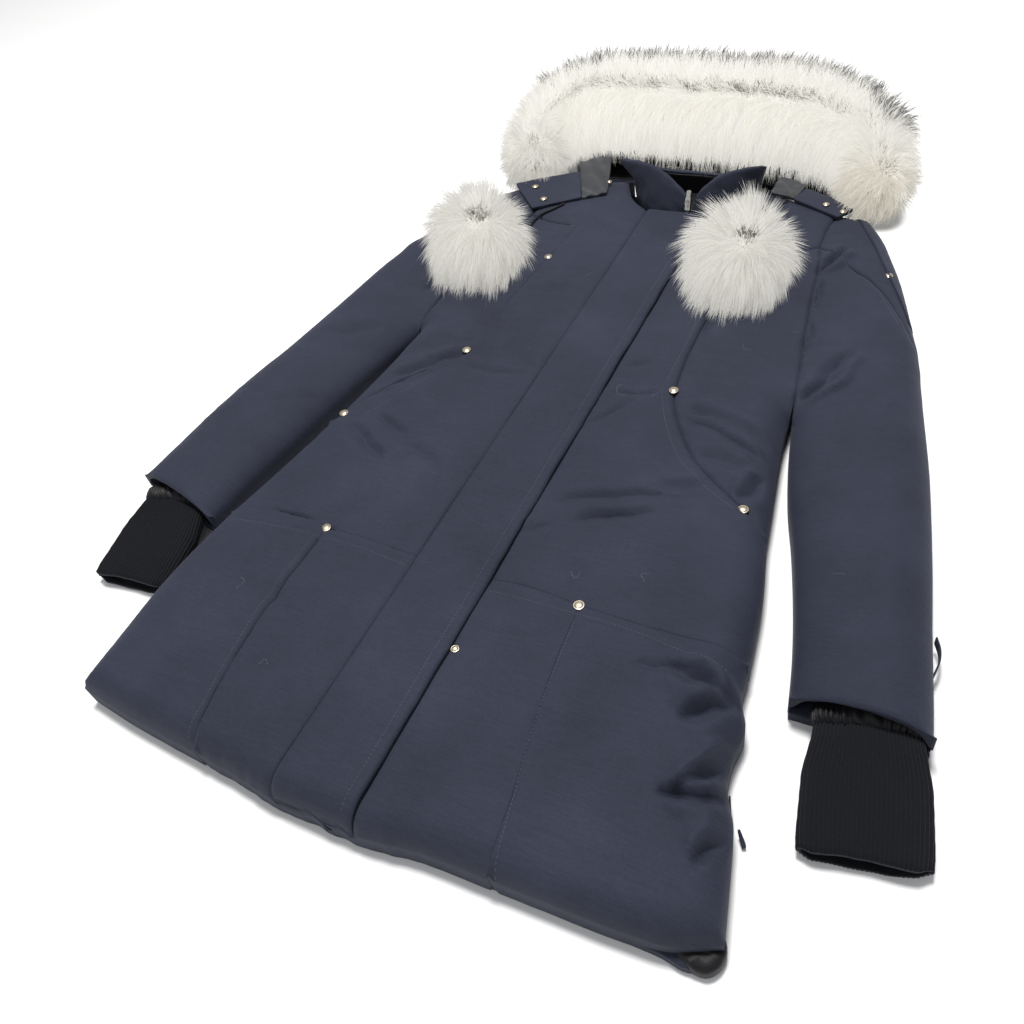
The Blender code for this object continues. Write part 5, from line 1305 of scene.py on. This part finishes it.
def ruff_hair(name, count, low_turn, high_turn, seed, dark=False, width=RUFF_HAIR_WIDTH, lean_low=6):
    """Long hair round the roll: it parts above the face and is combed up and back, or down."""
    random = np.random.RandomState(seed)
    count = int(count * HAIR_SHARE)
    s = random.uniform(0.16, 0.91, count) if dark else random.uniform(0.004, 0.996, count)
    turn = random.uniform(low_turn, high_turn, count)
    root, normal, flow = ruff_surface(s, turn, ROOT_SHARE)
    size = ruff_frame(s)[1]
    part = PART_TURN + 0.34 * noise(s, s * 0.4, 0.09, 77, 2)
    side = np.tanh((turn - part) / 0.35)
    # Neighbouring hairs share a lock: its middle, its way and its length
    cell_s = np.floor(s * LOCKS_ALONG + 0.6 * np.sin(turn * 11 + s * 40))
    cell_t = np.floor(turn * LOCKS_ROUND + 0.5 * np.sin(s * 260))
    code = (cell_s * 131 + cell_t * 37).astype(int)
    lock = np.random.RandomState(seed + 500).normal(0, 1, (4096, 4))[np.abs(code) % 4096]
    lean = np.radians(lean_low + RUFF_LEAN * np.minimum(np.abs(turn - part), 1))
    ahead = ruff_frame(s)[2]
    sway = 0.30 * noise(s, turn * 0.03, 0.030, seed + 1) + 0.22 * lock[:, 0]
    way = unit(normal * np.cos(lean)[:, None] + flow * (np.sin(lean) * side)[:, None]
               + ahead * sway[:, None] + random.normal(0, 0.10, (count, 3)))
    length = size * (RUFF_LENGTH + 0.07 * lock[:, 1] + random.uniform(-0.12, 0.12, count))
    length *= 1 - 0.12 * ramp(turn, PART_TURN - 0.5, PART_TURN)
    end = np.clip(1 - np.minimum(s, 1 - s) / 0.06, 0, 1)[:, None]
    outward = np.where(s < 0.5, -1, 1)[:, None] * ahead
    way = unit(way + outward * end * 0.7)
    hang = np.where(turn < part, 0.10, 0.02)
    if dark:
        length = length * random.uniform(0.84, 1.10, count)
    else:
        length = length * np.where(turn > part + 0.5, 0.93, 1.0)
    tip = root + way * length[:, None] + flow * (side * length * 0.20)[:, None]
    tip[:, 2] -= hang * length
    gather = random.uniform(0.15, 0.6, count)[:, None]
    near_s, near_t = (cell_s + 0.5) / LOCKS_ALONG, (cell_t + 0.5) / LOCKS_ROUND
    shift = ruff_surface(near_s, near_t, 1.0)[0] - ruff_surface(s, turn, 1.0)[0]
    shift *= np.minimum(1, RUFF_LOCK_REACH / np.maximum(np.linalg.norm(shift, axis=1), 1e-6))[:, None]
    tip = tip + shift * gather
    control = root + normal * (length * 0.34)[:, None] + (tip - root) * 0.25
    high = whites(random, count, 0.47, 0.60)
    warm = np.clip((s - 0.945) / 0.03, 0, 1) * np.clip((0.6 - turn) / 0.8, 0, 1)
    high *= 1 - warm[:, None] * np.array([0.10, 0.20, 0.30])
    # Painted shade: the root colour is the tip colour darkened, in place of the shadow the hair doesn't cast
    low = high * ROOT_PAINTED_SHADE_AND_WARMTH
    if dark:
        high = random.uniform(0.015, 0.08, count)[:, None] * np.array([1.0, 0.95, 0.92])
    root, control, tip = on_floor(root, control, tip, FUR_LOW)
    tip[:, 2] = np.minimum(tip[:, 2], FUR_HIGH)
    wide = random.uniform(0.6, 1.2, count) * width
    if dark:
        return strands(name, root, control, tip, normal, wide, low, high, seed, 4, 0)
    return strands(name, root, control, tip, normal, wide, low, high, seed)


def fur_ball(name, centre, core, reach, whorl, floor, seed, count, tint=WHITE, pull=(0.0, 0.0, 0.0)):
    """Hair over a ball, combed away from its whorl, in locks that come to a point."""
    random = np.random.RandomState(seed)
    count = int(count * HAIR_SHARE)
    centre, whorl = np.array(centre), np.array(whorl) / np.linalg.norm(whorl)
    normal = random.normal(0, 1, (count, 3))
    crown = int(count * 0.07)
    normal[:crown] = whorl * 2.4 + normal[:crown] * 0.55
    normal = unit(normal)
    locks = unit(random.normal(0, 1, (BALL_LOCKS, 3)))
    own = random.normal(0, 1, (BALL_LOCKS, 4))
    near = np.argmax(normal @ locks.T, axis=1)
    flow = normal * (normal @ whorl)[:, None] - whorl
    lean = np.radians(2 + BALL_LEAN * np.clip((1 - normal @ whorl) / 0.9, 0, 1))
    lean *= np.clip((1 + normal @ whorl) / 0.7, 0, 1)
    root = centre + normal * np.array([1, 1, BALL_SQUASH]) * core * 0.93
    way = unit(normal * np.cos(lean)[:, None] + unit(flow) * np.sin(lean)[:, None]
               + own[near, :3] * 0.10 + random.normal(0, 0.07, (count, 3)) + np.array(pull))
    length = (reach - core * 0.9) * (1 + 0.16 * own[near, 3] + random.uniform(-0.30, 0.20, count))
    tip = root + way * length[:, None] + unit(flow) * (length * 0.10)[:, None]
    tip[:, 2] -= 0.06 * length
    gather = random.uniform(0.15, 0.65, count)[:, None]
    shift = (locks[near] - normal) * reach * 0.8
    shift *= np.minimum(1, BALL_LOCK_REACH / np.maximum(np.linalg.norm(shift, axis=1), 1e-6))[:, None]
    tip = tip + shift * gather
    control = root + normal * (length * 0.36)[:, None] + (tip - root) * 0.22
    root, control, tip = on_floor(root, control, tip, floor)
    tip[:, 2] = np.minimum(tip[:, 2], FUR_HIGH)
    keep = root[:, 2] > floor + 0.002
    high = whites(random, count, 0.38, 0.53) * np.array(tint)
    wide = random.uniform(0.6, 1.2, count) * BALL_HAIR_WIDTH
    # Painted shade: the roots are darkened in place of the shadow the hair doesn't cast
    return strands(name, root[keep], control[keep], tip[keep], normal[keep], wide[keep],
                   (high * ROOT_PAINTED_SHADE_AND_WARMTH)[keep], high[keep], seed)


done(ruff_core(), "fur", "fur_ruff")
HAIR = [ruff_hair("ruff_hair_front", 25000, math.radians(-80), PART_TURN + 0.2, 61),
        ruff_hair("ruff_hair_top", 12000, PART_TURN - 0.2, math.radians(165), 62),
        ruff_hair("ruff_hair_crown", 4000, PART_TURN - 0.30, PART_TURN + 0.40, 66, lean_low=0),
        ruff_hair("ruff_hair_back", 5500, math.radians(160), math.radians(262), 63),
        ruff_hair("ruff_hair_guard", 9000, math.radians(93), math.radians(142), 64, True,
                  GUARD_HAIR_WIDTH, 0)]
for name, end, way in (("ruff_end_right", 0, (-0.3, 0.95, 0.10)), ("ruff_end_left", -1, (0.25, 0.95, 0.10))):
    HAIR.append(fur_ball(name, RUFF_PATH[end][:3] + np.array([0, 0.008, 0.002]), 0.025, 0.050, way,
                         FUR_LOW, 65, 4600, CREAM if end else WHITE))


def pompom(side, centre, whorl, floor, pull):
    """A ball of fur on the end of a drawcord."""
    ball = bmesh.new()
    bmesh.ops.create_icosphere(ball, subdivisions=4, radius=BALL_CORE)
    for v in ball.verts:
        v.co = Vector((v.co.x, v.co.y, v.co.z * BALL_SQUASH)) + Vector(centre)
        v.co.z = max(v.co.z, floor + 0.001)
    mesh = bpy.data.meshes.new(f"pompom_{side}_core")
    ball.to_mesh(mesh)
    ball.free()
    keep_tint(mesh, np.tile(BALL_CORE_SHADE, (len(mesh.vertices), 1)))
    done(finished(f"pompom_{side}_core", mesh, FUR), "fur", f"pompom_{side}")
    HAIR.append(fur_ball(f"pompom_{side}_hair", centre, BALL_CORE, BALL_REACH, whorl, floor, 71, 12000,
                         pull=pull))


for side, x, y, whorl, pull in (("right", -0.186, 0.626, (-0.05, 0.60, 0.62), (0.0, -0.10, 0.0)),
                                ("left", 0.117, 0.654, (0.10, 0.30, 0.85), (-0.06, -0.08, 0.0))):
    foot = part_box(f"pompom_{side}")[0].z
    pompom(side, (x, y, foot + 0.003 + BALL_CORE * BALL_SQUASH), whorl, foot, pull)
for obj in HAIR:
    done(obj, "fur")
    obj.visible_shadow = False


# ---- what the cloth was cut to

# Width and length before sewing, how it is held, and what it lies on
CUTS = {
    "storm_placket_cloth": ((0.076, 0.805), "laid", ("front_right", "front_left", "front_zip")),
    "arm_band_left_cloth": ((0.026, 0.210), "laid", ("sleeve_cap_left",)),
    "hood_tab_right_cloth": ((0.055, 0.100), "laid", ("front_right", "side_front_right")),
    "hood_tab_left_cloth": ((0.040, 0.060), "laid", ("front_left", "side_front_left")),
    "hood_tab_facing_right_cloth": ((0.042, 0.090), "laid", ("front_right",)),
    "hood_tab_facing_left_cloth": ((0.037, 0.042), "laid", ("front_left",)),
    "collar_lining_right_cloth": ((0.075, 0.120), "hung", ("collar_right",)),
    "collar_lining_left_cloth": ((0.070, 0.110), "hung", ("collar_left",)),
    "neck_lining_cloth": ((0.115, 0.070), "laid", ("back_panel",)),
    "hood_lining_cloth": ((0.315, 0.066), "laid", ("hood_under",)),
    "sleeve_loop_left_cloth": ((0.010, 0.045), "hung", ("sleeve_top_left",)),
    "vent_zip_left_cloth": ((0.018, 0.076), "hung", ("hip_outer_left",)),
    "sleeve_lining_right": ((0.180, 0.040), "gathered", ("rib_cuff_right",)),
    "sleeve_lining_left": ((0.180, 0.040), "gathered", ("rib_cuff_left",)),
    "hem_corner_lining": ((0.045, 0.030), "folded", ("back_panel",)),
    "rib_cuff_right_knit": ((0.205, 0.125), "stretched", ("sleeve_top_right",)),
    "rib_cuff_left_knit": ((0.205, 0.125), "stretched", ("sleeve_top_left",)),
}
for name, (flat, held, under) in CUTS.items():
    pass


# ---- metal

def snaps():
    """Domed snap caps with a rolled rim, all in one piece."""
    # Shares of a cap's radius and of its height
    profile = ((0.0, 1.00), (0.35, 0.97), (0.62, 0.84), (0.78, 0.62), (0.82, 0.46), (0.88, 0.44),
               (0.96, 0.50), (1.02, 0.36), (1.02, 0.10), (0.98, 0.0))
    sides = 28
    verts, faces = [], []
    names = sorted(n for n in NODES if n.startswith("rivet_"))
    for name in names:
        low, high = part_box(name)
        cx, cy = (low.x + high.x) / 2, (low.y + high.y) / 2
        radius = (high.x - low.x) / 2
        tall = high.z - low.z
        base = len(verts)
        for r, h in profile:
            for k in range(sides):
                t = 2 * math.pi * k / sides
                verts.append((cx + radius * r * math.cos(t), cy + radius * r * math.sin(t),
                              low.z + 0.0001 + tall * 1.05 * h))
        for j in range(1, len(profile)):
            for k in range(sides):
                n = (k + 1) % sides
                a, b = base + (j - 1) * sides, base + j * sides
                faces.append((a + k, b + k, b + n, a + n))
        faces.append(round_faces(sides, base + (len(profile) - 1) * sides)[::-1])
    done(mesh_object("snap_caps", verts, faces, GILT), "metal", *names)


snaps()
for name, mat in (("zip_slider", STEEL), ("zip_pull", STEEL), ("front_zip", TAPE)):
    node = NODES[name]
    node.data.materials.clear()
    node.data.materials.append(mat)
    if mat is STEEL:
        edge = node.modifiers.new("edge", "BEVEL")
        edge.width = 0.0003
        edge.segments = 2


def zip_teeth():
    """Teeth of the zip where it shows above the placket."""
    path = catmull(((0.7985, 0.0380), (0.8010, 0.0465), (0.8035, 0.0520), (0.8060, 0.0570)), 0.0013)
    verts, faces = [], []
    for k, (y, z) in enumerate(path):
        for side in (-1, 1):
            cx = 0.011 + side * 0.0009 + (0.0003 if k % 2 else -0.0003)
            cy, cz = y - 0.0009, z + 0.0005 + (0.00032 if side > 0 else -0.00032)
            base = len(verts)
            for dx in (-0.0011, 0.0011):
                for dy, dz in ((-0.0004, -0.0003), (0.0004, -0.0005), (0.0004, 0.0005), (-0.0004, 0.0003)):
                    verts.append((cx + dx, cy + dy, cz + dz))
            for a, b, c, d in ((0, 1, 2, 3), (7, 6, 5, 4), (0, 4, 5, 1), (1, 5, 6, 2), (2, 6, 7, 3),
                               (3, 7, 4, 0)):
                faces.append((base + a, base + b, base + c, base + d))
    done(mesh_object("zip_teeth", verts, faces, STEEL, smooth=False), "zip")


zip_teeth()


# ---- drawcords

CORD_DIAMETER = 0.003
CORDS = {
    "right": ((-0.1485, 0.7850, 0.0449), (-0.156, 0.773, 0.0449), (-0.168, 0.755, 0.0449),
              (-0.171, 0.730, 0.0449), (-0.168, 0.705, 0.0449), (-0.170, 0.680, 0.0449),
              (-0.174, 0.655, 0.0449)),
    "left": ((0.1215, 0.8425, 0.0449), (0.113, 0.822, 0.0449), (0.107, 0.795, 0.0449),
             (0.108, 0.765, 0.0449), (0.112, 0.735, 0.0449), (0.1145, 0.705, 0.0449),
             (0.1155, 0.680, 0.0449)),
}
for side, points in CORDS.items():
    route = catmull(points, 0.004)
    curve = bpy.data.curves.new(f"drawcord_{side}_line", "CURVE")
    curve.dimensions = "3D"
    curve.bevel_depth = CORD_DIAMETER / 2
    curve.bevel_resolution = 3
    curve.use_fill_caps = True
    line = curve.splines.new("POLY")
    line.points.add(len(route) - 1)
    for point, place in zip(line.points, route):
        point.co = (*place, 1)
    curve.materials.append(LINING)
    cord = done(placed(f"drawcord_{side}_line", curve), "lining", f"drawcord_{side}")


# ---- stage, light and camera

def stage():
    """A plain pale floor, a pale sky and two soft lamps."""
    bpy.ops.mesh.primitive_plane_add(size=14, location=(0, 0, -0.0004))
    floor = bpy.context.object
    floor.name = "floor"
    floor.data.materials.append(shader("floor", (0.93, 0.93, 0.93), 0.9, specular=0.1)[0])
    world = bpy.data.worlds.new("world")
    bpy.context.scene.world = world
    world.use_nodes = True
    sky = world.node_tree.nodes["Background"]
    sky.inputs["Color"].default_value = (0.95, 0.97, 1.0, 1)
    sky.inputs["Strength"].default_value = 0.36

    def lamp(name, place, aim, size, power, colour):
        data = bpy.data.lights.new(name, "AREA")
        data.size = size
        data.energy = power
        data.color = colour
        obj = placed(name, data)
        obj.location = place
        obj.rotation_mode = "QUATERNION"
        obj.rotation_quaternion = (Vector(aim) - Vector(place)).to_track_quat("-Z", "Y")
    lamp("key", (-0.20, 0.85, 3.4), (0, 0.40, 0), 0.75, 127, (1.0, 0.985, 0.965))
    lamp("fill", (-0.6, -1.6, 2.8), (0, 0.8, 0), 1.0, 13, (0.97, 0.98, 1.0))


def camera():
    """The camera at the photograph's angle; its focal length is in pixels of the photo's frame."""
    focal, azimuth, elevation, roll = 919.6, 35.54, 46.83, -13.05
    centre = (0.35308, -0.1843, 0.65378)
    a, e, r = (math.radians(v) for v in (azimuth, elevation, roll))
    back = np.array([math.sin(a) * math.cos(e), -math.cos(a) * math.cos(e), math.sin(e)])
    right = np.cross(-back, [0, 0, 1.0])
    right /= np.linalg.norm(right)
    up = np.cross(right, -back)
    wide = math.cos(r) * right + math.sin(r) * up
    tall = -math.sin(r) * right + math.cos(r) * up
    data = bpy.data.cameras.new("camera")
    data.sensor_width = 36
    data.lens = focal * data.sensor_width / 1024
    data.clip_start, data.clip_end = 0.01, 50
    obj = placed("camera", data)
    obj.matrix_world = Matrix([(wide[k], tall[k], back[k], centre[k]) for k in range(3)]
                              + [(0, 0, 0, 1)])
    bpy.context.scene.camera = obj


stage()
camera()
bpy.context.scene.view_settings.view_transform = "Standard"
